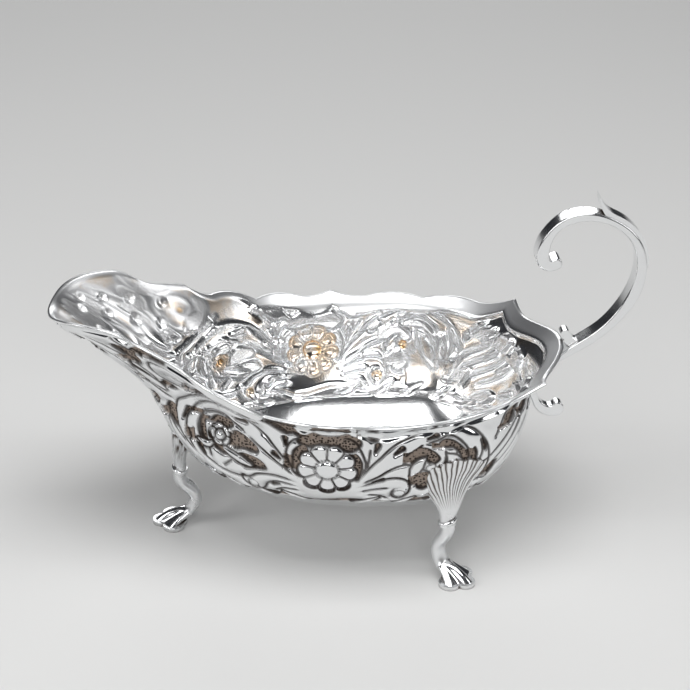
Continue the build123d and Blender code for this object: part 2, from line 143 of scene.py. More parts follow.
def mesh_object(name: str, points: np.ndarray, quads: np.ndarray, triangles: np.ndarray | None = None,
                marks: dict[str, np.ndarray] | None = None) -> bpy.types.Object:
    """Makes a smooth-shaded mesh object from millimetre points.

    Args:
        name: Name of the piece.
        points: Points in millimetres, one to a row.
        quads: Four point indices to a row.
        triangles: Three point indices to a row.
        marks: Named values at the points, for the finishes to read.

    Returns:
        The new object, linked to the scene.
    """
    triangles = np.zeros((0, 3), int) if triangles is None else triangles
    mesh = bpy.data.meshes.new(name)
    mesh.vertices.add(len(points))
    mesh.vertices.foreach_set("co", (points * MM).astype(np.float32).ravel())
    corners = np.concatenate([quads.ravel(), triangles.ravel()]).astype(np.int32)
    sizes = np.concatenate([np.full(len(quads), 4), np.full(len(triangles), 3)])
    mesh.loops.add(len(corners))
    mesh.loops.foreach_set("vertex_index", corners)
    mesh.polygons.add(len(sizes))
    mesh.polygons.foreach_set("loop_start", np.concatenate([[0], np.cumsum(sizes)[:-1]]).astype(np.int32))
    mesh.update(calc_edges=True)
    mesh.validate()
    mesh.shade_smooth()
    for mark, values in (marks or {}).items():
        attribute = mesh.attributes.new(mark, "FLOAT", "POINT")
        attribute.data.foreach_set("value", values.astype(np.float32).ravel())
    piece = bpy.data.objects.new(name, mesh)
    bpy.context.scene.collection.objects.link(piece)
    return piece


# ---------------------------------------------------------------- finishes
class Polish(Enum):
    """How a silver surface was worked last, as the roughness that the eye sees."""

    BURNISHED = 0.10
    BRIGHT = 0.17
    BRUSHED = 0.30


@dataclass(frozen=True)
class ChasedSilver:
    """Sterling silver raised and chased by hand, with its ground matted by a punch and left to darken."""

    name: str = "chased_sterling_silver"
    silver: str = "EEEFF0"        # fine polished silver
    oxide: str = "261C16"         # brown-black sulphide in the chased lines and in the pits of the punch
    matted: str = "93857A"        # paler brown between the pits
    tarnish: str = "E0B87C"       # amber first tarnish in the hollows inside
    punch_mm: float = 0.85        # pitch of the matting punch's dots, drawn a little coarse so that they show
    punch_depth_mm: float = 0.2
    wear_mm: float = 9.0          # size of the patches where polishing has worn unevenly
    planish_mm: float = 1.6       # size of the faint unevenness that the planishing hammer leaves
    planish_depth_mm: float = 0.08
    satin_rough: float = 0.24     # roughness that a soft polish adds
    oxide_rough: float = 0.45     # roughness that oxide adds
    oxide_cover: float = 0.92     # share of the metal's own reflection that oxide hides

    def build(self) -> bpy.types.Material:
        """Makes the node material.

        Returns:
            A material that reads the bowl's marks: ground, groove, warm and satin.
        """
        material = bpy.data.materials.new(self.name)
        material.use_nodes = True
        tree = material.node_tree
        shader = tree.nodes["Principled BSDF"]
        marks = {name: add_node(tree, "ShaderNodeAttribute", {"attribute_name": name}).outputs["Fac"]
                 for name in ("ground", "groove", "warm", "satin")}
        place = add_node(tree, "ShaderNodeTexCoord").outputs["Object"]
        wear = add_node(tree, "ShaderNodeTexNoise", {}, {
            "Vector": place, "Scale": 1 / (self.wear_mm * MM), "Detail": 6.0,
            "Roughness": 0.6}).outputs["Fac"]
        punched = add_node(tree, "ShaderNodeTexVoronoi", {"feature": "F1"}, {
            "Vector": place, "Scale": 1 / (self.punch_mm * MM), "Randomness": 0.7}).outputs["Distance"]
        # each punch mark is a dark pit in paler metal, so the matted ground reads as brown stipple
        pit = add_node(tree, "ShaderNodeMapRange", {}, {
            "Value": punched, "From Min": 0.30, "From Max": 0.50, "To Min": 0.0,
            "To Max": 1.0}).outputs["Result"]
        stipple = add_node(tree, "ShaderNodeMix", {"data_type": "RGBA"}, {
            0: pit, 6: linear(self.oxide), 7: linear(self.matted)}).outputs[2]
        uneven = add_node(tree, "ShaderNodeMapRange", {}, {
            "Value": wear, "From Min": 0.3, "From Max": 0.6, "To Min": 0.75,
            "To Max": 1.0}).outputs["Result"]
        line = add_node(tree, "ShaderNodeMath", {"operation": "MULTIPLY"}, {
            0: marks["groove"], 1: uneven}).outputs[0]
        dark = add_node(tree, "ShaderNodeMath", {"operation": "MAXIMUM"}, {
            0: marks["ground"], 1: line}).outputs[0]
        patchy = add_node(tree, "ShaderNodeMapRange", {}, {
            "Value": wear, "From Min": 0.42, "From Max": 0.62, "To Min": 0.1,
            "To Max": 1.0}).outputs["Result"]
        amber = add_node(tree, "ShaderNodeMath", {"operation": "MULTIPLY"}, {
            0: marks["warm"], 1: patchy}).outputs[0]
        warmed = add_node(tree, "ShaderNodeMix", {"data_type": "RGBA"}, {
            0: amber, 6: linear(self.silver), 7: linear(self.tarnish)}).outputs[2]
        grounded = add_node(tree, "ShaderNodeMix", {"data_type": "RGBA"}, {
            0: marks["ground"], 6: warmed, 7: stipple}).outputs[2]
        colour = add_node(tree, "ShaderNodeMix", {"data_type": "RGBA"}, {
            0: line, 6: grounded, 7: linear(self.oxide)}).outputs[2]
        dulled = add_node(tree, "ShaderNodeMath", {"operation": "MULTIPLY_ADD"}, {
            0: marks["satin"], 1: self.satin_rough, 2: Polish.BURNISHED.value}).outputs[0]
        rough = add_node(tree, "ShaderNodeMath", {"operation": "MULTIPLY_ADD"}, {
            0: dark, 1: self.oxide_rough, 2: dulled}).outputs[0]
        bare = add_node(tree, "ShaderNodeMath", {"operation": "MULTIPLY_ADD"}, {
            0: dark, 1: -self.oxide_cover, 2: 1.0}).outputs[0]
        shallow = add_node(tree, "ShaderNodeMath", {"operation": "MULTIPLY"}, {
            0: pit, 1: marks["ground"]}).outputs[0]
        bump = add_node(tree, "ShaderNodeBump", {}, {
            "Height": shallow, "Strength": 0.7, "Distance": self.punch_depth_mm * MM}).outputs["Normal"]
        fine = add_node(tree, "ShaderNodeTexNoise", {}, {
            "Vector": place, "Scale": 1 / (self.planish_mm * MM), "Detail": 3.0}).outputs["Fac"]
        planished = add_node(tree, "ShaderNodeBump", {}, {
            "Height": fine, "Strength": 0.25, "Distance": self.planish_depth_mm * MM,
            "Normal": bump}).outputs["Normal"]
        tree.links.new(colour, shader.inputs["Base Color"])
        tree.links.new(rough, shader.inputs["Roughness"])
        tree.links.new(bare, shader.inputs["Metallic"])
        tree.links.new(planished, shader.inputs["Normal"])
        shader.inputs["Specular IOR Level"].default_value = 0.3
        return material


@dataclass(frozen=True)
class CastSilver:
    """Sterling silver cast in sand, filed and burnished, with wear in its shine and painted shade in its
    creases.
    """

    name: str
    polish: Polish
    silver: str = "ECEDEE"
    crease_shade: str = "3F3023"         # brown-black painted shade, put in the colour where ambient occlusion finds shade in the creases
    wear_mm: float = 5.0          # size of the patches in its shine
    file_mm: float = 0.5          # spacing of the last file marks
    file_depth_mm: float = 0.05
    crease_mm: float = 1.6        # how far from a crease the painted shade reaches
    crease_depth_mm: float = 0.3
    shade_rough: float = 0.4      # roughness that the painted shade adds
    shade_cover: float = 0.8      # share of the metal's own reflection that the painted shade hides

    def creases(self, tree: bpy.types.NodeTree, place: bpy.types.NodeSocket) -> bpy.types.NodeSocket:
        """Adds the nodes that find where shade falls in the creases, for the painted shade.

        Args:
            tree: The material's nodes.
            place: The point's own place on the boat; not used here.

        Returns:
            A value that is 1 in a shaded crease and 0 on an open surface.
        """
        # ambient occlusion finds where shade falls in the creases; the colour is darkened there as painted
        # shade
        shade = add_node(tree, "ShaderNodeAmbientOcclusion", {"samples": 6}, {
            "Distance": self.crease_mm * MM}).outputs["AO"]
        return add_node(tree, "ShaderNodeMapRange", {}, {
            "Value": shade, "From Min": 0.35, "From Max": 0.75, "To Min": 1.0,
            "To Max": 0.0}).outputs["Result"]

    def build(self) -> bpy.types.Material:
        """Makes the node material.

        Returns:
            A polished cast silver whose creases are painted darker than its ridges, as painted shade.
        """
        material = bpy.data.materials.new(self.name)
        material.use_nodes = True
        tree = material.node_tree
        shader = tree.nodes["Principled BSDF"]
        place = add_node(tree, "ShaderNodeTexCoord").outputs["Object"]
        wear = add_node(tree, "ShaderNodeTexNoise", {}, {
            "Vector": place, "Scale": 1 / (self.wear_mm * MM), "Detail": 5.0}).outputs["Fac"]
        # painted shade: the creases' darkness goes into the colour and the metallic below
        crease = self.creases(tree, place)
        colour = add_node(tree, "ShaderNodeMix", {"data_type": "RGBA"}, {
            0: crease, 6: linear(self.silver), 7: linear(self.crease_shade)}).outputs[2]
        shine = add_node(tree, "ShaderNodeMapRange", {}, {
            "Value": wear, "From Min": 0.3, "From Max": 0.7, "To Min": self.polish.value * 0.7,
            "To Max": self.polish.value * 1.4}).outputs["Result"]
        rough = add_node(tree, "ShaderNodeMath", {"operation": "MULTIPLY_ADD"}, {
            0: crease, 1: self.shade_rough, 2: shine}).outputs[0]
        bare = add_node(tree, "ShaderNodeMath", {"operation": "MULTIPLY_ADD"}, {
            0: crease, 1: -self.shade_cover, 2: 1.0}).outputs[0]
        filed = add_node(tree, "ShaderNodeTexNoise", {}, {
            "Vector": place, "Scale": 1 / (self.file_mm * MM), "Detail": 2.0}).outputs["Fac"]
        worked = add_node(tree, "ShaderNodeBump", {}, {
            "Height": filed, "Strength": 0.2, "Distance": self.file_depth_mm * MM}).outputs["Normal"]
        dented = add_node(tree, "ShaderNodeBump", {}, {
            "Height": crease, "Strength": -0.6, "Distance": self.crease_depth_mm * MM,
            "Normal": worked}).outputs["Normal"]
        tree.links.new(colour, shader.inputs["Base Color"])
        tree.links.new(rough, shader.inputs["Roughness"])
        tree.links.new(bare, shader.inputs["Metallic"])
        tree.links.new(dented, shader.inputs["Normal"])
        return material


@dataclass(frozen=True)
class FlutedSilver(CastSilver):
    """Cast silver whose flutes were sharpened with a graver; dark lines fan out from its root, painted shade
    in the flutes' grooves.
    """

    root: tuple = (0.0, 0.0, 0.0)   # millimetres, where the lines meet
    facing: float = 0.0           # degrees in plan that the fan faces
    line_step: float = 4.2        # degrees from one line to the next
    line_share: float = 0.32      # share of that step that is cut
    waver_mm: float = 7.0         # length over which the hand that cut them wavered
    waver: float = 0.07           # radians that it strayed
    line_start: float = 5.0       # millimetres above the root where the lines begin
    line_full: float = 11.0       # and where they reach their full depth

    def creases(self, tree: bpy.types.NodeTree, place: bpy.types.NodeSocket) -> bpy.types.NodeSocket:
        """Adds the fanning lines, painted shade in the flutes' grooves, to the painted shade in the creases.

        Args:
            tree: The material's nodes.
            place: The point's own place on the boat.

        Returns:
            A value that is 1 in a line or shaded crease and 0 on an open surface.
        """
        crease_shade = super().creases(tree, place)
        turn = math.radians(self.facing)
        offset = add_node(tree, "ShaderNodeVectorMath", {"operation": "SUBTRACT"}, {
            0: place, 1: tuple(value * MM for value in self.root)}).outputs["Vector"]
        aside = add_node(tree, "ShaderNodeVectorMath", {"operation": "DOT_PRODUCT"}, {
            0: offset, 1: (-math.sin(turn), math.cos(turn), 0.0)}).outputs["Value"]
        rise = add_node(tree, "ShaderNodeVectorMath", {"operation": "DOT_PRODUCT"}, {
            0: offset, 1: (0.0, 0.0, 1.0)}).outputs["Value"]
        angle = add_node(tree, "ShaderNodeMath", {"operation": "ARCTAN2"}, {0: aside, 1: rise}).outputs[0]
        waver = add_node(tree, "ShaderNodeTexNoise", {}, {
            "Vector": place, "Scale": 1 / (self.waver_mm * MM), "Detail": 1.0}).outputs["Fac"]
        bent = add_node(tree, "ShaderNodeMath", {"operation": "MULTIPLY_ADD"}, {
            0: waver, 1: self.waver, 2: angle}).outputs[0]
        steps = add_node(tree, "ShaderNodeMath", {"operation": "DIVIDE"}, {
            0: bent, 1: math.radians(self.line_step)}).outputs[0]
        saw = add_node(tree, "ShaderNodeMath", {"operation": "PINGPONG"}, {0: steps, 1: 0.5}).outputs[0]
        # the fanning lines darken the colour as painted shade where the flutes' grooves lie
        line = add_node(tree, "ShaderNodeMapRange", {"interpolation_type": "SMOOTHSTEP"}, {
            "Value": saw, "From Min": 0.0, "From Max": self.line_share, "To Min": 1.0,
            "To Max": 0.0}).outputs["Result"]
        # the lines run out towards the collar, where the casting is only brushed
        reach = add_node(tree, "ShaderNodeMapRange", {}, {
            "Value": rise, "From Min": self.line_start * MM,
            "From Max": self.line_full * MM}).outputs["Result"]
        cut = add_node(tree, "ShaderNodeMath", {"operation": "MULTIPLY"}, {0: line, 1: reach}).outputs[0]
        return add_node(tree, "ShaderNodeMath", {"operation": "MAXIMUM"}, {0: cut, 1: crease_shade}).outputs[0]


@dataclass(frozen=True)
class StudioFloor:
    """Plain matt paper sweep, pale under and behind the boat."""

    name: str = "matt_pale_paper"
    paper: str = "D6D6D5"
    roughness: float = 0.85
    tooth_mm: float = 0.8         # grain of the paper
    tooth_depth_mm: float = 0.05

    def build(self) -> bpy.types.Material:
        """Makes the node material.

        Returns:
            A plain pale material with a faint paper tooth.
        """
        material = bpy.data.materials.new(self.name)
        material.use_nodes = True
        tree = material.node_tree
        shader = tree.nodes["Principled BSDF"]
        place = add_node(tree, "ShaderNodeTexCoord").outputs["Object"]
        tooth = add_node(tree, "ShaderNodeTexNoise", {}, {
            "Vector": place, "Scale": 1 / (self.tooth_mm * MM), "Detail": 2.0}).outputs["Fac"]
        bump = add_node(tree, "ShaderNodeBump", {}, {
            "Height": tooth, "Strength": 0.1, "Distance": self.tooth_depth_mm * MM}).outputs["Normal"]
        tree.links.new(bump, shader.inputs["Normal"])
        shader.inputs["Base Color"].default_value = linear(self.paper)
        shader.inputs["Roughness"].default_value = self.roughness
        return material


# ---------------------------------------------------------------- the bowl's raised form
@dataclass
class BowlForm:
    """The raised form of the bowl: each point of it is a station round the bowl and a height.

    Sizes are in millimetres. A reach is measured from the middle, a fill is a fullness and an exponent.
    """

    sheet: float = 1.0
    middle_x: float = 8.0
    bottom: float = 17.0
    neck: float = 50.0
    bottom_half_width: float = 16.0
    neck_half_width: float = 39.6
    bottom_nose: float = 24.0
    neck_nose: float = 58.5
    bottom_tail: float = 38.0
    neck_tail: float = 56.4
    nose_fill: tuple = (1.2, 0.5)
    tail_fill: tuple = (1.8, 0.57)
    side_fill: tuple = (2.2, 0.6)
    flange_radius: float = 8.2    # of the hollow that turns the wall out
    flange_angle: float = 54.5    # degrees that the rim leans out
    flange_height: float = 1.52   # height up to which it leans so, in flange radii
    fade_reach: float = 3.5       # reach that it gains above that
    tail_flange: float = 1.5      # height over the neck where the flange starts at the handle
    side_flange: float = 0.5      # and at the sides
    spout_lean: float = 0.78
    spout_sweep: float = 0.0165
    waist_depth: float = 0.43     # share of the width that the spout's waist takes
    waist_start: float = 24.0     # depth under the neck where the waist starts
    waist_run: float = 38.0       # height over which it deepens
    waist_ease: float = 0.05      # share that it gives back towards the lip
    ease_start: float = 22.0      # height over the neck where it gives it back
    ease_run: float = 10.0
    pinch_reach: float = 0.78     # cosine of the station where the waist is at its full depth
    pinch_power: float = 2.6
    back_swell: float = 0.10      # share of the width that the belly gains towards the handle
    back_reach: float = 0.7       # cosine of the station where it has gained it
    back_fade: float = 7.0        # height over the neck at which it is gone
    blank_top: float = 82.0       # height of the bowl before its edge is cut
    lip_reach: float = 88.5
    lip_swell: float = 0.15       # how far the lip's middle stands past its reach
    lip_points: tuple = ((-86.2, 10.3), (-80.0, 16.8), (-70.0, 21.1), (-60.0, 22.4), (-49.5, 28.8))
    brackets: tuple = ((-49.5, 28.8), (-26.0, 38.4), (-1.5, 45.2), (28.5, 40.6), (56.8, 28.4))
    back_points: tuple = ((56.8, 28.4), (57.6, 23.6), (59.0, 19.5), (63.6, 11.5), (66.0, 5.6), (66.8, 0.0))
    bracket_swell: float = 1.9
    bracket_dip: float = 0.5
    bracket_split: float = 0.62

    def belly(self, z: np.ndarray, start: float, end: float, fullness: float, exponent: float) -> np.ndarray:
        """Reach of the belly at a height.

        Args:
            z: Heights.
            start: Reach at the flat bottom.
            end: Reach at the neck.
            fullness: How early the belly fills out.
            exponent: How flat it leaves the bottom.

        Returns:
            The reach at each height.
        """
        share = np.clip((z - self.bottom) / (self.neck - self.bottom), 0, 1)
        return start + (end - start) * (1 - (1 - share) ** fullness) ** exponent

    def flare(self, height: np.ndarray) -> np.ndarray:
        """Outward reach of the flange: a hollow arc and then a cone that fades out.

        Args:
            height: Heights above the flange's start.

        Returns:
            The reach at each height.
        """
        lean = math.tan(math.radians(self.flange_angle))
        limit = self.flange_height * self.flange_radius
        steep = self.fade_reach * (1 - np.exp(-np.maximum(0, height - limit) * lean / self.fade_reach))
        height = np.clip(height, 0, limit)
        arc_height = self.flange_radius * math.sin(math.radians(self.flange_angle))
        arc = self.flange_radius - np.sqrt(self.flange_radius ** 2 - np.minimum(height, arc_height) ** 2)
        arc_reach = self.flange_radius * (1 - math.cos(math.radians(self.flange_angle)))
        cone = arc_reach + (height - arc_height) * lean
        return np.where(height < arc_height, arc, cone + steep)

    def point(self, z: np.ndarray, station: np.ndarray) -> np.ndarray:
        """Points of the outside of the bowl.

        Args:
            z: Heights in millimetres.
            station: Angles round the bowl: 0 at the spout and pi at the handle.

        Returns:
            Points, with x, y and z in the last axis.
        """
        z, station = np.broadcast_arrays(np.asarray(z, float), np.asarray(station, float))
        along, across = np.cos(station), np.sin(station)
        rise = np.maximum(0, z - self.neck)
        nose = self.belly(z, self.bottom_nose, self.neck_nose, *self.nose_fill)
        nose = nose + self.spout_lean * rise + self.spout_sweep * rise ** 2
        tail = self.belly(z, self.bottom_tail, self.neck_tail, *self.tail_fill)
        tail = tail + self.flare(z - self.neck - self.tail_flange)
        half = self.belly(z, self.bottom_half_width, self.neck_half_width, *self.side_fill)
        half = half + self.flare(z - self.neck - self.side_flange)
        ease = self.waist_ease * smooth((z - self.neck - self.ease_start) / self.ease_run)
        waist = self.waist_depth * smooth((z - self.neck + self.waist_start) / self.waist_run) - ease
        pinch = 1 - waist * smooth(np.clip(along / self.pinch_reach, 0, 1) ** self.pinch_power)
        faded = 1 - smooth((z - self.neck) / self.back_fade)
        full = 1 + self.back_swell * smooth(-along / self.back_reach) * faded
        x = np.where(along > 0, self.middle_x - (self.middle_x + nose) * along,
                     self.middle_x - (tail - self.middle_x) * along)
        return np.stack([x, half * across * np.where(along > 0, pinch, full), z], -1)

    def bracket(self, start: np.ndarray, end: np.ndarray) -> np.ndarray:
        """Bracket curve from a notch to a peak.

        Args:
            start: The notch.
            end: The peak.

        Returns:
            Points of the full curve beside the notch and of the hollow up to the peak.
        """
        chord = end - start
        side = np.array([-chord[1], chord[0]]) / np.linalg.norm(chord)
        side = side if side[1] > 0 else -side
        share = np.linspace(0, 1, 60)[:, None]
        split = self.bracket_split
        swell = self.bracket_swell * (1 - (2 * share / split - 1) ** 2)
        dip = -self.bracket_dip * (1 - (2 * (share - split) / (1 - split) - 1) ** 2)
        return start + chord * share + side * np.where(share < split, swell, dip)

    def rim(self) -> np.ndarray:
        """Cut edge of the rim in plan.

        Returns:
            Points of one half, from the lip to the back.
        """
        first = np.array(self.lip_points[0])
        lip = np.vstack([first * (1, -1), (-self.lip_reach - self.lip_swell, 0), self.lip_points])
        front = through(lip, 24)[24:]
        corners = np.array(self.brackets)
        sides = [self.bracket(corners[1], corners[0])[::-1], self.bracket(corners[1], corners[2]),
                 self.bracket(corners[3], corners[2])[::-1], self.bracket(corners[3], corners[4])]
        back = through(np.array(self.back_points), 12)
        return np.vstack([front] + sides + [back])

    def crossing(self, stations: np.ndarray) -> tuple[np.ndarray, np.ndarray]:
        """Where the raised form meets the cut edge.

        Args:
            stations: Angles round one half of the bowl.

        Returns:
            Heights of the rim, and the rim's bearings from the bowl's middle.
        """
        rim = self.rim()
        bearing = np.arctan2(rim[:, 1], self.middle_x - rim[:, 0])
        reach = np.hypot(rim[:, 0] - self.middle_x, rim[:, 1])
        order = np.argsort(bearing)
        low, high = np.full(stations.shape, self.neck), np.full(stations.shape, self.blank_top)
        for _ in range(40):
            middle = (low + high) / 2
            points = self.point(middle, stations)
            angle = np.arctan2(np.maximum(points[:, 1], 0), self.middle_x - points[:, 0])
            inside = np.hypot(points[:, 0] - self.middle_x, points[:, 1]) < np.interp(angle, bearing[order],
                                                                                      reach[order])
            low, high = np.where(inside, middle, low), np.where(inside, high, middle)
        return low, angle

    def stations(self, count: int) -> np.ndarray:
        """Evenly spread stations round one half that also hit every peak and notch of the rim.

        Args:
            count: Number of steps from spout to handle.

        Returns:
            Rising angles from 0 to pi.
        """
        dense = np.linspace(0, math.pi, 4000)
        _, bearing = self.crossing(dense)
        stations = np.linspace(0, math.pi, count + 1)
        for x, y in self.brackets:
            target = np.interp(math.atan2(y, self.middle_x - x), bearing, dense)
            stations[np.argmin(np.abs(stations - target))] = target
        return stations


# ---------------------------------------------------------------- chased ornament
WORKED = 2.6                  # millimetres round a line or an edge that it still shapes
STEP = 0.35                   # millimetres over which the edge of a ground, a boss or a petal falls


def from_line(spots: np.ndarray, line: np.ndarray) -> tuple[np.ndarray, np.ndarray]:
    """Measures spots against a bent line.

    Args:
        spots: Points, one to a row.
        line: Points of the line, one to a row.

    Returns:
        Each spot's distance from the line, and the share of the line walked at its nearest place.
    """
    runs = np.linalg.norm(np.diff(line, axis=0), axis=1)
    walked = np.concatenate([[0], np.cumsum(runs)])
    nearest, share = np.full(len(spots), 1e9), np.zeros(len(spots))
    for start, end, run, begun in zip(line, line[1:], runs, walked):
        along = (end - start) / run
        step = np.clip((spots - start) @ along, 0, run)
        distance = np.linalg.norm(spots - start - step[:, None] * along, axis=1)
        closer = distance < nearest
        nearest = np.where(closer, distance, nearest)
        share = np.where(closer, (begun + step) / walked[-1], share)
    return nearest, share


@dataclass
class Skin:
    """Points of one half of the bowl's outside, and the relief that is chased on them."""

    form: BowlForm
    points: np.ndarray
    stations: np.ndarray          # degrees round the bowl
    leaf_height: float = 1.2      # how far the leaves swell out
    leaf_round: float = 2.3       # distance from a chased line at which a leaf is at its fullest
    ground_depth: float = 0.30    # how far the matted ground is driven in
    cut: float = 0.62             # half width of a chased line
    crease: np.ndarray = field(init=False)   # distance from the nearest chased line
    sunk: np.ndarray = field(init=False)     # distance inside the nearest ground's edge
    height: np.ndarray = field(init=False)   # relief
    cover: np.ndarray = field(init=False)    # 1 on a leaf and 0 on the matted ground
    groove: np.ndarray = field(init=False)   # 1 in a chased line
    warm: np.ndarray = field(init=False)     # amber tarnish behind it, on the inside

    def __post_init__(self) -> None:
        """Starts as one unbroken swelling leaf, far from any line."""
        self.crease = np.full(len(self.points), 9.0)
        self.sunk = np.full(len(self.points), -9.0)

    def near(self, spots: np.ndarray, reach: float) -> np.ndarray:
        """Indices of the skin's points within a reach of the box round some spots."""
        low, high = spots.min(0) - reach, spots.max(0) + reach
        return np.flatnonzero(np.all((self.points > low) & (self.points < high), axis=1))

    def settle(self) -> None:
        """Turns the distances from lines and grounds into relief and marks."""
        crease = np.minimum(self.crease, np.maximum(-self.sunk, 0.0))
        short = 1 - np.minimum(crease, self.leaf_round) / self.leaf_round
        swell = self.leaf_height * np.sqrt(1 - short ** 2)
        self.cover = smooth(0.5 - self.sunk / STEP)
        self.height = np.where(self.sunk > 0, -self.ground_depth * smooth(self.sunk / STEP), swell)
        self.groove = np.maximum(smooth(1.7 * (1 - self.crease / self.cut)),
                                 smooth(1.4 * (1 - np.abs(self.sunk) / self.cut)))
        self.warm = 0.42 * smooth((crease - 1.0) / 1.2) * self.cover


@dataclass(frozen=True)
class Line:
    """A line chased through (station in degrees, height in millimetres) that parts two leaves."""

    line: tuple

    def chase(self, skin: Skin) -> None:
        """Cuts this line into a skin.

        Args:
            skin: The half of the bowl that is worked on.
        """
        spine = through(np.array(self.line, float), 6)
        spine = skin.form.point(spine[:, 1], np.radians(spine[:, 0]))
        where = skin.near(spine, WORKED)
        distance, share = from_line(skin.points[where], spine)
        # both ends of a line run out shallow
        faint = 0.5 * (1 - smooth(np.minimum(share, 1 - share) / 0.10))
        skin.crease[where] = np.minimum(skin.crease[where], distance + faint)


@dataclass(frozen=True)
class Ground:
    """A patch of ground that is driven in and matted, inside an outline of (station, height)."""

    outline: tuple

    def chase(self, skin: Skin) -> None:
        """Sinks this patch into a skin.

        Args:
            skin: The half of the bowl that is worked on.
        """
        corners = np.array(self.outline, float)
        around = through(np.vstack([corners[-2:], corners, corners[:2]]), 5)[10:-10]
        edge = skin.form.point(around[:, 1], np.radians(around[:, 0]))
        where = skin.near(edge, WORKED)
        station, height = skin.stations[where], skin.points[where, 2]
        inside = np.zeros(len(where), bool)
        for (s0, z0), (s1, z1) in zip(around, around[1:]):
            if z0 != z1:
                crosses = (z0 > height) != (z1 > height)
                inside ^= crosses & (station < s0 + (height - z0) * (s1 - s0) / (z1 - z0))
        distance, _ = from_line(skin.points[where], edge)
        skin.sunk[where] = np.maximum(skin.sunk[where], np.where(inside, distance, -distance))


@dataclass(frozen=True)
class Drop:
    """A teardrop-shaped pit, struck with one tool between two places."""

    line: tuple
    radius: float = 0.75

    def chase(self, skin: Skin) -> None:
        """Sinks this drop into a skin.

        Args:
            skin: The half of the bowl that is worked on.
        """
        ends = np.array(self.line, float)
        spine = skin.form.point(ends[:, 1], np.radians(ends[:, 0]))
        where = skin.near(spine, 3.0)
        distance, share = from_line(skin.points[where], spine)
        inside = self.radius * (0.35 + 0.65 * share) - distance
        skin.sunk[where] = np.maximum(skin.sunk[where], inside)


@dataclass(frozen=True)
class Finger:
    """A pointed leaf finger with its own outline, along a line of (station, height)."""

    line: tuple
    widths: tuple                 # half widths at even steps from root to point

    def chase(self, skin: Skin) -> None:
        """Cuts this finger's outline into a skin and clears what it lies over.

        Args:
            skin: The half of the bowl that is worked on.
        """
        spine = through(np.array(self.line, float), 6)
        spine = skin.form.point(spine[:, 1], np.radians(spine[:, 0]))
        where = skin.near(spine, max(self.widths) + WORKED)
        distance, share = from_line(skin.points[where], spine)
        edge = np.interp(share, np.linspace(0, 1, len(self.widths)), self.widths) - distance
        skin.crease[where] = np.where(edge > 0, edge, np.minimum(skin.crease[where], -edge))
        skin.sunk[where] = np.minimum(skin.sunk[where], -edge)


@dataclass(frozen=True)
class Boss:
    """A round bud or the knob that ends a scroll."""

    place: tuple
    radius: float
    height: float = 1.1

    def chase(self, skin: Skin) -> None:
        """Raises this boss on a settled skin.

        Args:
            skin: The half of the bowl that is worked on.
        """
        centre = skin.form.point(self.place[1], math.radians(self.place[0]))
        where = skin.near(centre[None, :], self.radius + 0.8)
        reach = np.linalg.norm(skin.points[where] - centre, axis=1)
        cover = smooth((self.radius - reach) / STEP + 0.5)
        dome = 0.2 + self.height * np.sqrt(np.clip(1 - (reach / self.radius) ** 2, 0, 1))
        skin.height[where] = np.where(cover > 0.5, dome, skin.height[where])
        skin.cover[where] = np.maximum(skin.cover[where], cover)
        outline = smooth(1 - np.abs(self.radius - reach) / 0.45)
        skin.groove[where] = np.maximum(skin.groove[where] * (1 - cover), outline)
        skin.warm[where] = np.maximum(skin.warm[where], cover)


@dataclass(frozen=True)
class Blossom:
    """A flower seen full face: rounded petals round a domed and beaded middle."""

    place: tuple
    radius: float
    petals: int
    dome: float
    beads: int = 0
    turn: float = 0.0
    height: float = 1.0

    def chase(self, skin: Skin) -> None:
        """Raises this flower on a settled skin.

        Args:
            skin: The half of the bowl that is worked on.
        """
        height, station = self.place[1], math.radians(self.place[0])
        centre = skin.form.point(height, station)
        upward = skin.form.point(height + 0.5, station) - skin.form.point(height - 0.5, station)
        around = skin.form.point(height, station + 0.01) - skin.form.point(height, station - 0.01)
        around /= np.linalg.norm(around)
        upward -= around * (upward @ around)
        upward /= np.linalg.norm(upward)
        where = skin.near(centre[None, :], self.radius + 1.2)
        offset = skin.points[where] - centre
        right, up = offset @ around, offset @ upward
        reach = np.linalg.norm(offset, axis=1)
        angle = np.arctan2(up, right) + self.turn
        lobe = np.abs(np.cos(self.petals * angle / 2))
        edge_radius = self.radius * (0.82 + 0.18 * lobe ** 0.6)
        apart = 0.5 - np.abs((self.petals * angle / (2 * math.pi)) % 1 - 0.5)
        between = reach * (0.5 - apart) * 2 * math.pi / self.petals
        body = np.sqrt(np.clip(smooth((edge_radius - reach) / 1.5) * smooth(between / 1.1 + 0.06), 0, 1))
        hollow = 1 - 0.45 * smooth(1 - np.abs(reach - 0.6 * self.radius) / (0.32 * self.radius)) * lobe
        lift = self.height * body * hollow
        dome = self.height * 0.5 + 1.1 * np.sqrt(np.clip(1 - (reach / self.dome) ** 2, 0, 1))
        lift = np.where(reach < self.dome, dome, lift)
        ring = smooth(1.4 * (1 - np.abs(reach - self.dome - 0.45) / 0.75))
        lift = lift - ring * 0.5
        if self.beads:
            bead = 0.5 + 0.5 * np.cos(self.beads * angle)
            lift += ring * bead * 0.5
            ring = ring * (1 - 0.7 * bead)
        cover = smooth((edge_radius - reach) / STEP + 0.5)
        outline = smooth(1.6 * (1 - np.abs(edge_radius + 0.1 - reach) / 0.6))
        cuts = np.maximum(smooth(1.6 * (1 - between / 0.5)) * smooth((edge_radius - reach) / 0.4)
                          * smooth((reach - self.dome) / 0.4), ring)
        skin.groove[where] = np.maximum(np.maximum(skin.groove[where] * (1 - cover), outline), cuts * cover)
        skin.height[where] = np.where(cover > 0.5, lift, skin.height[where])
        skin.cover[where] = np.maximum(skin.cover[where], cover)
        skin.warm[where] = np.maximum(skin.warm[where], cover * np.where(reach < self.dome, 0.9, 0.55))


# Ornament of one side, from the spout (station 0) to the handle (station 180).
LEAF = (0.7, 1.7, 1.8, 1.2, 0.1)          # half widths of a leaf finger, from its root to its point
BROAD = (0.8, 2.2, 2.6, 2.0, 0.4)

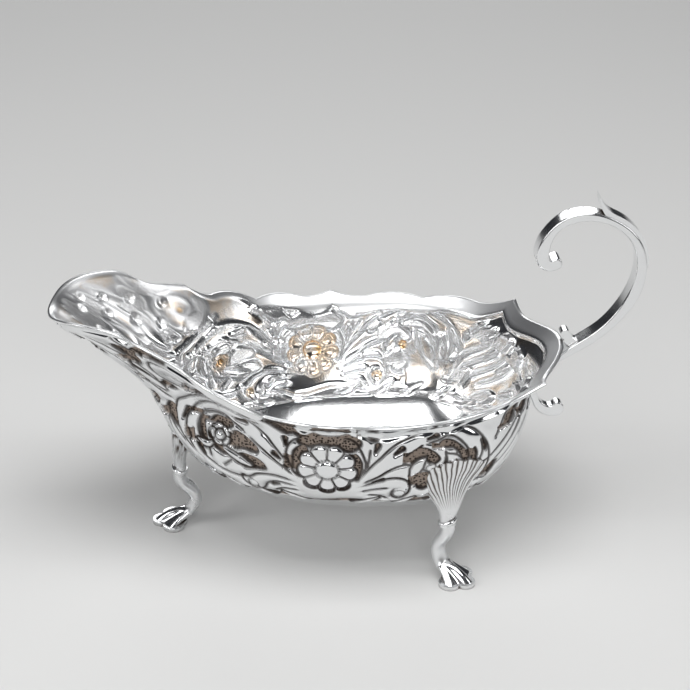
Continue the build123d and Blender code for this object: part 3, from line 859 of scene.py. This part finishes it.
# left of the flower: a stem that climbs to the rim and turns back in a C scroll, with the leaves beside it
FRONT_LINES = (
    Line(((67, 37), (65, 42.5), (62.5, 47), (60.3, 50.5), (58, 53.5), (54, 55.6), (49, 56.2), (43, 54),
          (38, 51.5), (33, 48), (30, 44.2), (28.2, 40), (28.5, 36.5), (31, 34.8))),
    Line(((55, 48.2), (50, 51.8), (45.5, 51.8), (40.5, 50), (37, 46.8), (35.6, 43.2), (36, 40.2))),
    Line(((66, 38), (61, 43), (57, 46.5), (55, 48.2))),
    Line(((68, 37), (65.2, 41.5), (65.3, 46), (67, 49.8), (70, 52), (72.5, 52))),
    Line(((66, 40), (66.8, 45), (68.6, 48.4))),
    Line(((67, 52.5), (64.5, 55.4), (61, 57))),
    Line(((30.5, 37), (34, 35.5), (38, 33.4), (44, 32.6), (50, 33.5), (54, 35.6), (60, 36.6), (66, 35.4))),
    Line(((66, 33.6), (60, 34.2), (56, 32.6), (53.2, 29.8), (49, 28.8), (46.4, 30.8), (47, 33.4),
          (50.2, 33.4))),
    Line(((66, 31.8), (61, 31.6), (57, 29.8))),
    Line(((41, 42.6), (38, 40), (36.5, 36.5))),
    Line(((46, 38), (43, 36.2), (40.4, 34.8))),
)
FRONT_GROUNDS = (
    Ground(((42, 51.2), (38.8, 48.8), (36.8, 45.4), (36.6, 41.6), (37.8, 41), (39, 44.5), (40, 47.6),
            (42.6, 49.4))),
    Ground(((43, 48.6), (45.5, 50.6), (50, 51), (50.6, 49.4), (48, 47.8), (45.4, 48))),
    Ground(((48.8, 46.4), (51.6, 48), (54.8, 47), (57, 44.8), (56, 43), (52.4, 43), (48.6, 42.4))),
    Ground(((50, 41), (54, 41.4), (57, 40.2), (57.4, 38), (54, 37.4), (50, 36.6), (48.6, 38.6))),
    Ground(((40.4, 40.4), (43.4, 39), (46, 40), (45, 41.6), (42, 42))),
    Ground(((33.8, 44.4), (32.2, 41), (32, 37.4), (33.6, 36.6), (34.4, 40))),
    Ground(((62.6, 56.8), (64.6, 54.2), (66.6, 52.8), (69.4, 54), (68.6, 56.4), (65.6, 57.4))),
    Drop(((63, 43.4), (61.8, 44.8))), Drop(((65.6, 48.6), (65.8, 51))), Drop(((53, 52.6), (56, 53))),
    Drop(((60, 33.2), (58, 32.8)), 0.5),
    Ground(((69, 55.4), (71, 53.2), (75, 54.8), (80.5, 54.8), (84, 53), (84.8, 50.4), (82, 48), (76, 50),
            (71.4, 49), (68.8, 50.2), (69.6, 52.2), (68, 53.8))),
    Ground(((67, 45.6), (68.2, 48), (70.4, 49.4), (71.4, 47), (70, 43), (69, 38), (67.2, 40))),
)
# right of the flower: the same stem mirrored, ending in a wide hook over the knee
REAR_LINES = (
    Line(((84, 37), (86.6, 42), (89.6, 46), (93, 49.4), (97.4, 52.2), (103, 54.2), (109.5, 55.4), (117, 55),
          (124, 52.6), (129.4, 48), (132.6, 42), (132.4, 37), (129.5, 33.5))),
    Line(((84, 38.5), (86, 43), (85, 48), (83, 51.4), (80, 52.6))),
    Line(((85, 36.4), (89, 39), (93.5, 42), (98.6, 43.6), (103.6, 42.4))),
    Line(((104.5, 50.6), (109.4, 51.4), (113.4, 52.6), (118, 50.6), (121.6, 47), (122.8, 43), (121.6, 39.5))),
    Line(((98, 45.6), (101, 48.2), (104.5, 50.6))),
    Line(((84, 35), (88, 36.8), (93, 38.6), (98, 38.4), (101, 36), (100.8, 32), (98, 29.6), (94.8, 31.2),
          (95.4, 34), (97.4, 34.6))),
    Line(((84.6, 33), (89, 34.2), (93.6, 34.6))),
    Line(((86.4, 31.6), (90, 31.2), (93.6, 29.6))),
    Line(((87.2, 49.6), (86.8, 45.6), (86.2, 42))),
    Line(((88, 53.6), (91.6, 54.4), (96, 56.2))),
    Line(((112.4, 48.4), (113.2, 44.4), (112, 40))),
    Line(((117.4, 48.6), (117.2, 44.4), (118.4, 40))),
    Line(((103.6, 42.4), (108, 40.4), (112, 40))),
    Line(((126.5, 50), (128.4, 45), (128, 39.6))),
)
REAR_GROUNDS = (
    Ground(((83.4, 47.4), (85, 44.4), (84.8, 40.4), (83.6, 37.6), (82, 41), (82.4, 45))),
    Ground(((100.6, 48), (104.4, 49.2), (108.4, 47.6), (110.8, 44.8), (108.4, 43.2), (105.4, 44.8),
            (103, 41.8), (100.6, 44))),
    Ground(((110.5, 50.6), (113, 51.4), (117, 49.8), (120.6, 46.6), (122.4, 43), (120.6, 42.6), (118.6, 45.8),
            (115.6, 48.4), (112.5, 48.8))),
    Ground(((104.5, 40.2), (108, 39.6), (110, 36), (107, 33.6), (103.6, 35))),
    Ground(((86, 53.6), (88.4, 51.8), (90.6, 54), (94.6, 56), (91, 57), (87, 56))),
    Ground(((124.4, 47), (126.4, 43.6), (126.4, 39.4), (124.4, 40), (124, 43.6))),
    Drop(((88.4, 48.2), (89, 50.4))), Drop(((94.6, 47.4), (97, 49.2))), Drop(((106, 52.2), (109, 53))),
    Drop(((88, 37), (91, 38.2)), 0.5), Drop(((127.8, 49.4), (130, 45.4)), 0.6),
)
# long lobes that sweep from the knee up to the handle
BACK_LINES = tuple(
    Line(((126 + step, 38 - step / 5), (136 + step, 43 - step / 5), (146 + step * 0.9, 49 - step / 5),
          (153 + step * 0.8, 56 - step / 6))) for step in (0, 6, 12, 18)) + (
    Line(((148, 30), (160, 31), (170, 34.5), (177, 40))),
    Line(((156, 28), (168, 29.5), (178, 33))),
    Line(((168, 50), (174, 46), (179, 47.5))), Line(((133.5, 47), (138, 52), (142, 56.5))))
BACK_GROUNDS = (
    Ground(((139, 51), (142.6, 54.4), (147, 55.6), (147, 52.6), (143, 49.4))),
    Ground(((151, 52.6), (155, 56), (160, 55), (157.4, 51), (153.6, 49.6))),
    Ground(((163, 50.6), (166, 54.4), (171, 53.6), (169, 49.6), (165, 47.6))),
    Ground(((131, 33), (134, 37.4), (139, 38), (137, 33.4))),
    Ground(((144, 30), (150, 33.6), (156, 34), (151, 30.4))),
    Ground(((172, 44), (176, 43.6), (179, 45), (179.5, 41.6), (175, 40.6))),
    Drop(((146, 44), (151, 48))), Drop(((154, 42), (160, 45.6))), Drop(((160, 36), (167, 39))),
)
SPOUT_LINES = (
    Line(((28, 35), (25, 41), (26, 47), (31, 52), (38, 54.6), (45, 57.2), (51, 59))),
    Line(((24, 51), (19.5, 45), (17.4, 39), (19, 33))), Line(((10, 51), (6.4, 44), (7, 36))),
    Line(((14.4, 46), (11.6, 41), (12.4, 35))),
    Line(((31, 52), (26, 54.4), (22.4, 59), (20, 65), (18.8, 71), (18, 76))),
    Line(((26, 54.4), (30, 57.6), (33, 62), (33.4, 67), (30.6, 71.6), (27, 75.6))),
    Line(((46, 59.4), (40.6, 58.4), (36.8, 61), (37, 65.6), (40.4, 68.4), (45, 67.4), (46.4, 63.8),
          (43.4, 62), (41.2, 64))),
    Line(((40, 69.6), (38, 73), (38.6, 77))), Line(((24, 61), (26.6, 65.6), (25.4, 71), (23, 75))),
    Line(((19, 54), (14, 58), (11.4, 64), (11, 71), (12, 76))),
    Line(((13, 52.6), (8.6, 57), (6, 63.6), (6, 71))),
    Line(((14, 62), (16, 66.4), (15, 71.6))), Line(((3, 66), (1.5, 60), (2.4, 54))),
    Line(((24.4, 38), (21.6, 42.6), (22, 47))),
)
SPOUT_GROUNDS = (
    Ground(((20.6, 45), (24, 43), (26.4, 46.4), (27.6, 50), (24.4, 50.4), (21.4, 48))),
    Ground(((26.8, 57.4), (29.6, 59), (31.6, 63), (30.6, 66.6), (28.4, 64), (25.8, 60.6))),
    Ground(((33.8, 57), (37, 57.4), (35.6, 60.4), (34.4, 59.6))),
    Ground(((34.6, 66.4), (37.6, 69.6), (36.4, 73.4), (33.4, 72.4), (33.6, 69))),
    Ground(((20.4, 67.6), (23.4, 68), (22.8, 73), (20, 74.6), (19.6, 71))),
    Ground(((12.6, 66), (14.4, 68.6), (14, 74), (12.2, 73.6))),
    Ground(((8, 64), (9.8, 66), (9.4, 72), (7.4, 71))),
    Ground(((43.6, 57.6), (47.6, 59.4), (50, 62.6), (48.4, 64.6), (47.4, 61.6))),
    Ground(((42, 70.4), (45.4, 69.6), (47.4, 72.6), (43, 74))),
    Ground(((13, 47.6), (16.4, 49), (18.6, 52), (14.8, 52), (12, 50))),
    Ground(((9.4, 41), (10.8, 44.6), (9.6, 47), (8.2, 43.6))), Ground(((2, 50), (5, 52), (6, 56), (3, 55))),
    Drop(((30.4, 47), (34, 50))), Drop(((22.6, 57), (20.6, 61)), 0.6), Drop(((4, 40), (3, 45)), 0.6),
)
# leaf fingers that lie over the grounds: in the two C scrolls, over the knee and along the spout
FINGERS = (
    Finger(((122, 36.5), (118.6, 41), (115.6, 44.6), (113.4, 46.4)), BROAD),
    Finger(((101, 39.6), (103.6, 44), (106, 46)), LEAF),
    Finger(((34, 41.6), (37.6, 40.6), (41.6, 42.6)), (0.6, 1.3, 1.1, 0.2)),
    Finger(((52.4, 38), (48.2, 39.4), (44.6, 41)), (0.8, 1.5, 1.4, 0.9)),
    Finger(((30, 55.6), (28, 60), (28.6, 64.6)), LEAF), Finger(((16, 56), (17.4, 61), (16.4, 66)), LEAF),
)
FLOWERS = (Blossom((44.6, 44.8), 3.7, 5, 1.4, turn=0.6), Boss((50.2, 31.3), 1.7), Boss((97.6, 32.2), 1.8),
           Boss((107.8, 42.2), 1.5), Boss((43.2, 63.6), 1.1),
           Blossom((75.7, 41.2), 8.9, 9, 3.1, beads=22, turn=0.175))
# a matted band with small leaves runs round under the ornament
FOOT_BAND = (
    Ground(tuple((station, 28.6 + 0.7 * math.sin(station / 4)) for station in range(16, 172, 4))
           + tuple((station, 26.4 + 0.3 * math.sin(station / 5)) for station in range(168, 12, -4))),)
BAND_LEAVES = tuple(
    Finger(((start, 30), (start + lean * 5, 27.6), (start + lean * 9, 27.2)), (0.5, 1.1, 1.0, 0.2))
    for start, lean in ((24, 1), (36, 1), (48, 1), (60, 1), (90, -1), (104, -1), (118, -1), (132, -1),
                        (146, -1), (160, -1)))


@dataclass
class Bowl:
    """The raised and chased bowl with its plain cut rim and its plain oval bottom."""

    form: BowlForm = field(default_factory=BowlForm)
    columns: int = 600            # steps round one half
    rows: int = 200               # steps up the wall
    bottom_rings: int = 12        # rings of the flat bottom
    side_border: float = 6.0      # plain width of the everted rim
    spout_border: float = 2.2     # plain edge of the spout
    ornament_foot: float = 26.2   # height where the ornament begins
    knee_seats: tuple = (         # station, height, reach
        (0.0, 34.0, 6.5), (118.5, 37.5, 7.5), (118.5, 31.0, 5.0))
    knee_relief: float = 0.12     # share of the relief that is left under a knee
    knee_blend: float = 3.5       # distance over which the rest comes back
    spout_buds: tuple = (         # station, height, radius
        (13, 71, 2.6), (20, 73.5, 2.0), (21, 68, 2.4), (27, 72, 2.0), (28, 64.5, 2.6), (34, 70, 2.2),
        (35, 62, 2.2), (41, 67, 2.4), (7, 66, 2.2), (12, 63, 2.0))
    bud_height: float = 7.0       # of a bud's cone before it is eased
    border_station: float = 38.0  # degrees where the spout's border starts to widen
    border_run: float = 22.0      # and over how many it does
    foot_fade: float = 0.7        # distance over which the ornament begins
    border_fade: float = 1.2      # and ends under the rim
    edge_share: float = 0.35      # share of the sheet that is left at the cut edge
    edge_run: float = 1.2         # distance from it over which the sheet thickens
    spout_start: float = 54.0     # height where the inside of the spout begins
    spout_run: float = 8.0
    spout_end: float = 40.0       # degrees where it passes into the rim
    spout_fade: float = 22.0
    inside_relief: float = 1.1    # share of the relief that shows inside
    spout_smoothing: float = 1.0  # share of it that is planished away in the spout
    satin: float = 0.25           # soft polish inside
    rim_satin: float = 0.75       # that the rim's plain border has besides
    rim_overlap: float = 1.0      # how far that reaches past the border
    rim_fade: float = 3.0
    rim_station: float = 30.0     # degrees where it starts
    rim_run: float = 20.0
    spout_satin: float = 0.9      # in the spout
    shift: float = 0.0            # from the bowl's own axes to the frame's

    def half_grid(self) -> tuple[np.ndarray, np.ndarray]:
        """Points of one half of the outside.

        Returns:
            The points by row and column, and the walk up the wall that is left from each to the rim.
        """
        form = self.form
        stations = form.stations(self.columns)
        rim_height, _ = form.crossing(stations)
        share = np.linspace(0, 1, 500)[:, None]
        belly = form.bottom + (form.neck - form.bottom) * np.linspace(0, 1, 300)[:, None] ** 1.8
        flange = form.neck + (rim_height - form.neck) * share[1:201] / share[200]
        heights = np.vstack([np.repeat(belly, len(stations), axis=1), flange])
        wall = form.point(heights, stations[None, :])
        steps = np.linalg.norm(np.diff(wall, axis=0), axis=2)
        walked = np.vstack([np.zeros(len(stations)), np.cumsum(steps, axis=0)])
        target = np.linspace(0, 1, self.rows + 1)
        rows = np.stack([np.interp(target * walked[-1, k], walked[:, k], heights[:, k])
                         for k in range(len(stations))], axis=1)
        up = target[:, None] * walked[-1]
        return form.point(rows, stations[None, :]), walked[-1] - up

    def buds(self, points: np.ndarray) -> np.ndarray:
        """Small round hollows struck along the spout, which stand up inside as well.

        Args:
            points: Points of the outside.

        Returns:
            Their height, before the inside's own softening.
        """
        height = np.zeros(points.shape[:2])
        for station, level, radius in self.spout_buds:
            centre = self.form.point(level, math.radians(station))
            apart = np.linalg.norm(points - centre, axis=2)
            height = np.maximum(height, self.bud_height * smooth(1 - apart / radius))
        return height

    def clear_of_knees(self, points: np.ndarray) -> np.ndarray:
        """Share of the relief that is left beside the knees, so that they lie flat on the wall.

        Args:
            points: Points of the outside.

        Returns:
            From near 0 under a knee to 1 away from it.
        """
        clear = np.ones(points.shape[:2])
        for station, height, reach in self.knee_seats:
            centre = self.form.point(height, math.radians(station))
            apart = np.linalg.norm(points - centre, axis=2)
            back = (1 - self.knee_relief) * smooth((apart - reach) / self.knee_blend)
            clear = np.minimum(clear, self.knee_relief + back)
        return clear

    @staticmethod
    def normals(points: np.ndarray) -> np.ndarray:
        """Outward normals of a grid of points.

        Args:
            points: Points that run up the wall and from spout to handle.

        Returns:
            A unit vector at each point.
        """
        around, upward = np.gradient(points, axis=1), np.gradient(points, axis=0)
        around[:, 0], around[:, -1] = (0, 1, 0), (0, -1, 0)
        normals = np.cross(upward, around)
        normals /= np.maximum(np.linalg.norm(normals, axis=2, keepdims=True), 1e-9)
        normals[0] = (0, 0, -1)
        return normals

    def build(self) -> bpy.types.Object:
        """Makes the bowl's mesh with its marks.

        Returns:
            The bowl, closed from the outside over the rim to the inside.
        """
        form = self.form
        points, left = self.half_grid()
        normals = self.normals(points)
        stations = np.degrees(np.arctan2(points[..., 1], form.middle_x - points[..., 0]))
        turn = np.degrees(form.stations(self.columns))
        skin = Skin(form, points.reshape(-1, 3), np.tile(turn, len(points)))
        for motif in (FOOT_BAND + BAND_LEAVES + SPOUT_LINES + SPOUT_GROUNDS + BACK_LINES + BACK_GROUNDS
                      + FRONT_LINES + FRONT_GROUNDS + REAR_LINES + REAR_GROUNDS + FINGERS):
            motif.chase(skin)
        skin.settle()
        for motif in FLOWERS:
            motif.chase(skin)
        shape = points.shape[:2]
        widened = smooth((stations - self.border_station) / self.border_run)
        border = self.spout_border + (self.side_border - self.spout_border) * widened
        above_foot = smooth((points[..., 2] - self.ornament_foot) / self.foot_fade)
        zone = above_foot * smooth((left - border) / self.border_fade)
        cover = skin.cover.reshape(shape)
        bare = self.clear_of_knees(points)
        relief = skin.height.reshape(shape) * zone * bare
        ground = (1 - cover) * zone
        groove = skin.groove.reshape(shape) * zone
        warm = skin.warm.reshape(shape) * zone
        outside = points + normals * relief[..., None]
        soft = (relief + np.roll(relief, 1, 0) + np.roll(relief, -1, 0)) / 3
        thickness = form.sheet * np.minimum(1, self.edge_share + left / self.edge_run)
        before_rim = 1 - smooth((stations - self.spout_end) / self.spout_fade)
        in_spout = smooth((points[..., 2] - self.spout_start) / self.spout_run) * before_rim
        soft = soft + self.buds(points)
        shown = self.inside_relief - self.spout_smoothing * in_spout
        inside = points + normals * (soft * shown - thickness)[..., None]
        inside[0, :, 2] = form.bottom + form.sheet
        on_rim = smooth((border + self.rim_overlap - left) / self.rim_fade)
        past_spout = smooth((stations - self.rim_station) / self.rim_run)
        satin = self.satin + self.rim_satin * on_rim * past_spout
        satin = np.maximum(satin, self.spout_satin * in_spout)
        return self.assemble(outside, inside, ground, groove, warm, satin)

    def assemble(self, outside: np.ndarray, inside: np.ndarray, ground: np.ndarray, groove: np.ndarray,
                 warm: np.ndarray, satin: np.ndarray) -> bpy.types.Object:
        """Mirrors the half, adds the flat bottom and joins outside and inside over the rim.

        Args:
            outside: Points of the outside of one half.
            inside: Points of the inside of one half.
            ground: Matted ground at those points.
            groove: Chased lines there.
            warm: Amber tarnish on the inside there.
            satin: Soft polish on the inside there.

        Returns:
            The bowl as one mesh object.
        """
        def ring(values: np.ndarray) -> np.ndarray:
            """Whole turn of columns from those of one half.

            Args:
                values: Points or marks of one half, by row and column.

            Returns:
                The same with the far half added, its points' y mirrored.
            """
            back = values[:, -2:0:-1].copy()
            if values.ndim == 3:
                back[..., 1] *= -1
            return np.concatenate([values, back], axis=1)

        layers = []
        for wall, is_inside in ((outside, 0.0), (inside, 1.0)):
            turn = ring(wall)
            centre = np.array([self.form.middle_x, 0.0, turn[0, 0, 2]])
            shares = (np.arange(1, self.bottom_rings) / self.bottom_rings)[:, None, None]
            floor = centre + (turn[0] - centre) * shares
            layers.append((centre, np.concatenate([floor, turn]), is_inside))
        rows, columns = layers[0][1].shape[:2]
        points, quads, triangles = [], [], []
        marks = {name: [] for name in ("ground", "groove", "warm", "satin")}
        start = 0
        blank = np.zeros((self.bottom_rings - 1, columns))
        for centre, grid, is_inside in layers:
            points += [centre[None, :], grid.reshape(-1, 3)]
            quads.append(grid_faces(rows, columns, bool(is_inside), start + 1))
            first = start + 1 + np.arange(columns)
            fan = np.stack([np.full(columns, start), np.roll(first, -1), first], -1)
            triangles.append(fan[:, ::-1] if is_inside else fan)
            for name, values, amount in (
                    ("ground", ground, 1 - 0.9 * is_inside), ("groove", groove, 1 - 0.8 * is_inside),
                    ("warm", warm, is_inside), ("satin", satin, is_inside)):
                marks[name] += [np.zeros(1), np.concatenate([blank, ring(values) * amount]).ravel()]
            start += 1 + rows * columns
        top = 1 + (rows - 1) * columns + np.arange(columns)
        other = top + 1 + rows * columns
        quads.append(np.stack([top, np.roll(top, -1), np.roll(other, -1), other], -1))
        everything = np.vstack(points) + np.array([self.shift, 0, 0])
        return mesh_object("bowl_chased", everything, np.vstack(quads), np.vstack(triangles),
                           {name: np.concatenate(values) for name, values in marks.items()})


# ---------------------------------------------------------------- studio
@dataclass
class Studio:
    """Floor, lamps, world and camera."""

    floor_size: float = 6.0       # metres
    world_grey: str = "303134"
    lens_mm: float = 95.48
    sensor_mm: float = 36.0
    azimuth: float = -5.09        # degrees
    elevation: float = 27.5
    roll: float = 1.64
    distance: float = 0.5545      # metres
    look_height: float = 0.06218
    lamps: tuple = (              # name, place, size, power in watts
        ("softbox_above", (0.0, -0.20, 1.0), (0.8, 0.5), 7.5),
        ("softbox_front", (-0.2, -1.1, 0.60), (1.1, 0.40), 5.5),
        ("softbox_left", (-1.0, -0.3, 0.7), (0.5, 0.7), 3.6),
        ("softbox_right", (1.0, -0.2, 0.6), (0.3, 0.7), 2.4),
        ("softbox_back", (0.1, 1.2, 0.6), (0.9, 0.3), 3.0),
    )

    def floor(self) -> bpy.types.Object:
        """Makes the pale floor as a sheet level with the soles.

        Returns:
            Nothing; the floor is linked to the scene.
        """
        half = self.floor_size / MM / 2
        corners = np.array([(-half, -half, 0), (half, -half, 0), (half, half, 0), (-half, half, 0)], float)
        piece = mesh_object("floor", corners, np.array([[0, 1, 2, 3]]))
        piece.data.materials.append(StudioFloor().build())
        return piece

    def light(self) -> None:
        """Sets the plain grey world and hangs the soft lamps, each turned to the boat."""
        world = bpy.data.worlds.new("studio")
        world.use_nodes = True
        world.node_tree.nodes["Background"].inputs["Color"].default_value = linear(self.world_grey)
        bpy.context.scene.world = world
        aim = Vector((0, 0, self.look_height))
        for name, place, size, power in self.lamps:
            lamp = bpy.data.lights.new(name, "AREA")
            lamp.shape, lamp.size, lamp.size_y, lamp.energy = "RECTANGLE", size[0], size[1], power
            piece = bpy.data.objects.new(name, lamp)
            piece.location = place
            piece.rotation_euler = (Vector(place) - aim).to_track_quat("Z", "Y").to_euler()
            bpy.context.scene.collection.objects.link(piece)

    def camera(self, shift: float) -> None:
        """Makes the camera and hands it to the scene.

        Args:
            shift: How far the bowl's own axes stand from the frame's, in metres along X.
        """
        turn, tip, roll = (math.radians(value) for value in (self.azimuth, self.elevation, self.roll))
        back = Vector((math.sin(turn) * math.cos(tip), -math.cos(turn) * math.cos(tip), math.sin(tip)))
        level = Vector((math.cos(turn), math.sin(turn), 0))
        upright = back.cross(level)
        right = level * math.cos(roll) + upright * math.sin(roll)
        up = upright * math.cos(roll) - level * math.sin(roll)
        data = bpy.data.cameras.new("camera")
        data.lens, data.sensor_width = self.lens_mm, self.sensor_mm
        data.clip_start, data.clip_end = 0.01, 20.0
        piece = bpy.data.objects.new("camera", data)
        place = Vector((shift, 0, self.look_height)) + back * self.distance
        piece.matrix_world = Matrix((
            (right.x, up.x, back.x, place.x), (right.y, up.y, back.y, place.y),
            (right.z, up.z, back.z, place.z), (0, 0, 0, 1)))
        bpy.context.scene.collection.objects.link(piece)
        bpy.context.scene.camera = piece


# Degrees in plan that the graver lines fan about, from the handle's end. They were set.
# The belly itself faces about 71 degrees behind the rear knees.
FRONT_FAN = 180.0
REAR_FAN = 66.0


def knee_finish(knee: str) -> FlutedSilver:
    """Finish of one knee, its lines set out from the collar below it.

    Args:
        knee: Name of the knee's node.

    Returns:
        The finish, its fan turned to the knee's own side of the boat.
    """
    low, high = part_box(knee.replace("_knee", "_collar"))
    root = tuple((low[axis] + high[axis]) / 2 / MM for axis in range(3))
    low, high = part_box(knee)
    across = (low[1] + high[1]) / 2
    in_the_middle = abs(root[1]) < 1
    facing = FRONT_FAN if in_the_middle else math.copysign(REAR_FAN, across)
    return FlutedSilver(knee.replace("_knee", "_fluted_silver"), Polish.BRUSHED, root=root, facing=facing)


def main() -> None:
    """Builds the pieces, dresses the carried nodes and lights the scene."""
    logging.basicConfig(level=logging.INFO, format="%(message)s")
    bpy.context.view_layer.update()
    bpy.context.scene.view_settings.view_transform = "Standard"
    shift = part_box("bowl")[0][0] / MM + BowlForm().lip_reach

    bowl = Bowl(shift=shift)
    piece = bowl.build()
    piece.data.materials.append(ChasedSilver().build())
    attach(piece, BODY)
    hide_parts("bowl")
    LOG.info("bowl_chased: %d points", len(piece.data.vertices))

    bright = CastSilver("cast_burnished_silver", Polish.BRIGHT).build()
    brushed = CastSilver("cast_brushed_silver", Polish.BRUSHED).build()
    for name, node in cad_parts.items():
        if name.endswith("_knee"):
            fluted = knee_finish(name).build()
        if name != "bowl":
            finish = fluted if name.endswith("_knee") else brushed if name.endswith("_shank") else bright
            for material_slot in node.material_slots:
                material_slot.material = finish
            LOG.info("%s: finished", name)

    studio = Studio()
    studio.floor()
    studio.light()
    studio.camera(shift * MM)
    LOG.info("studio: set")


if __name__ == "__main__":
    main()
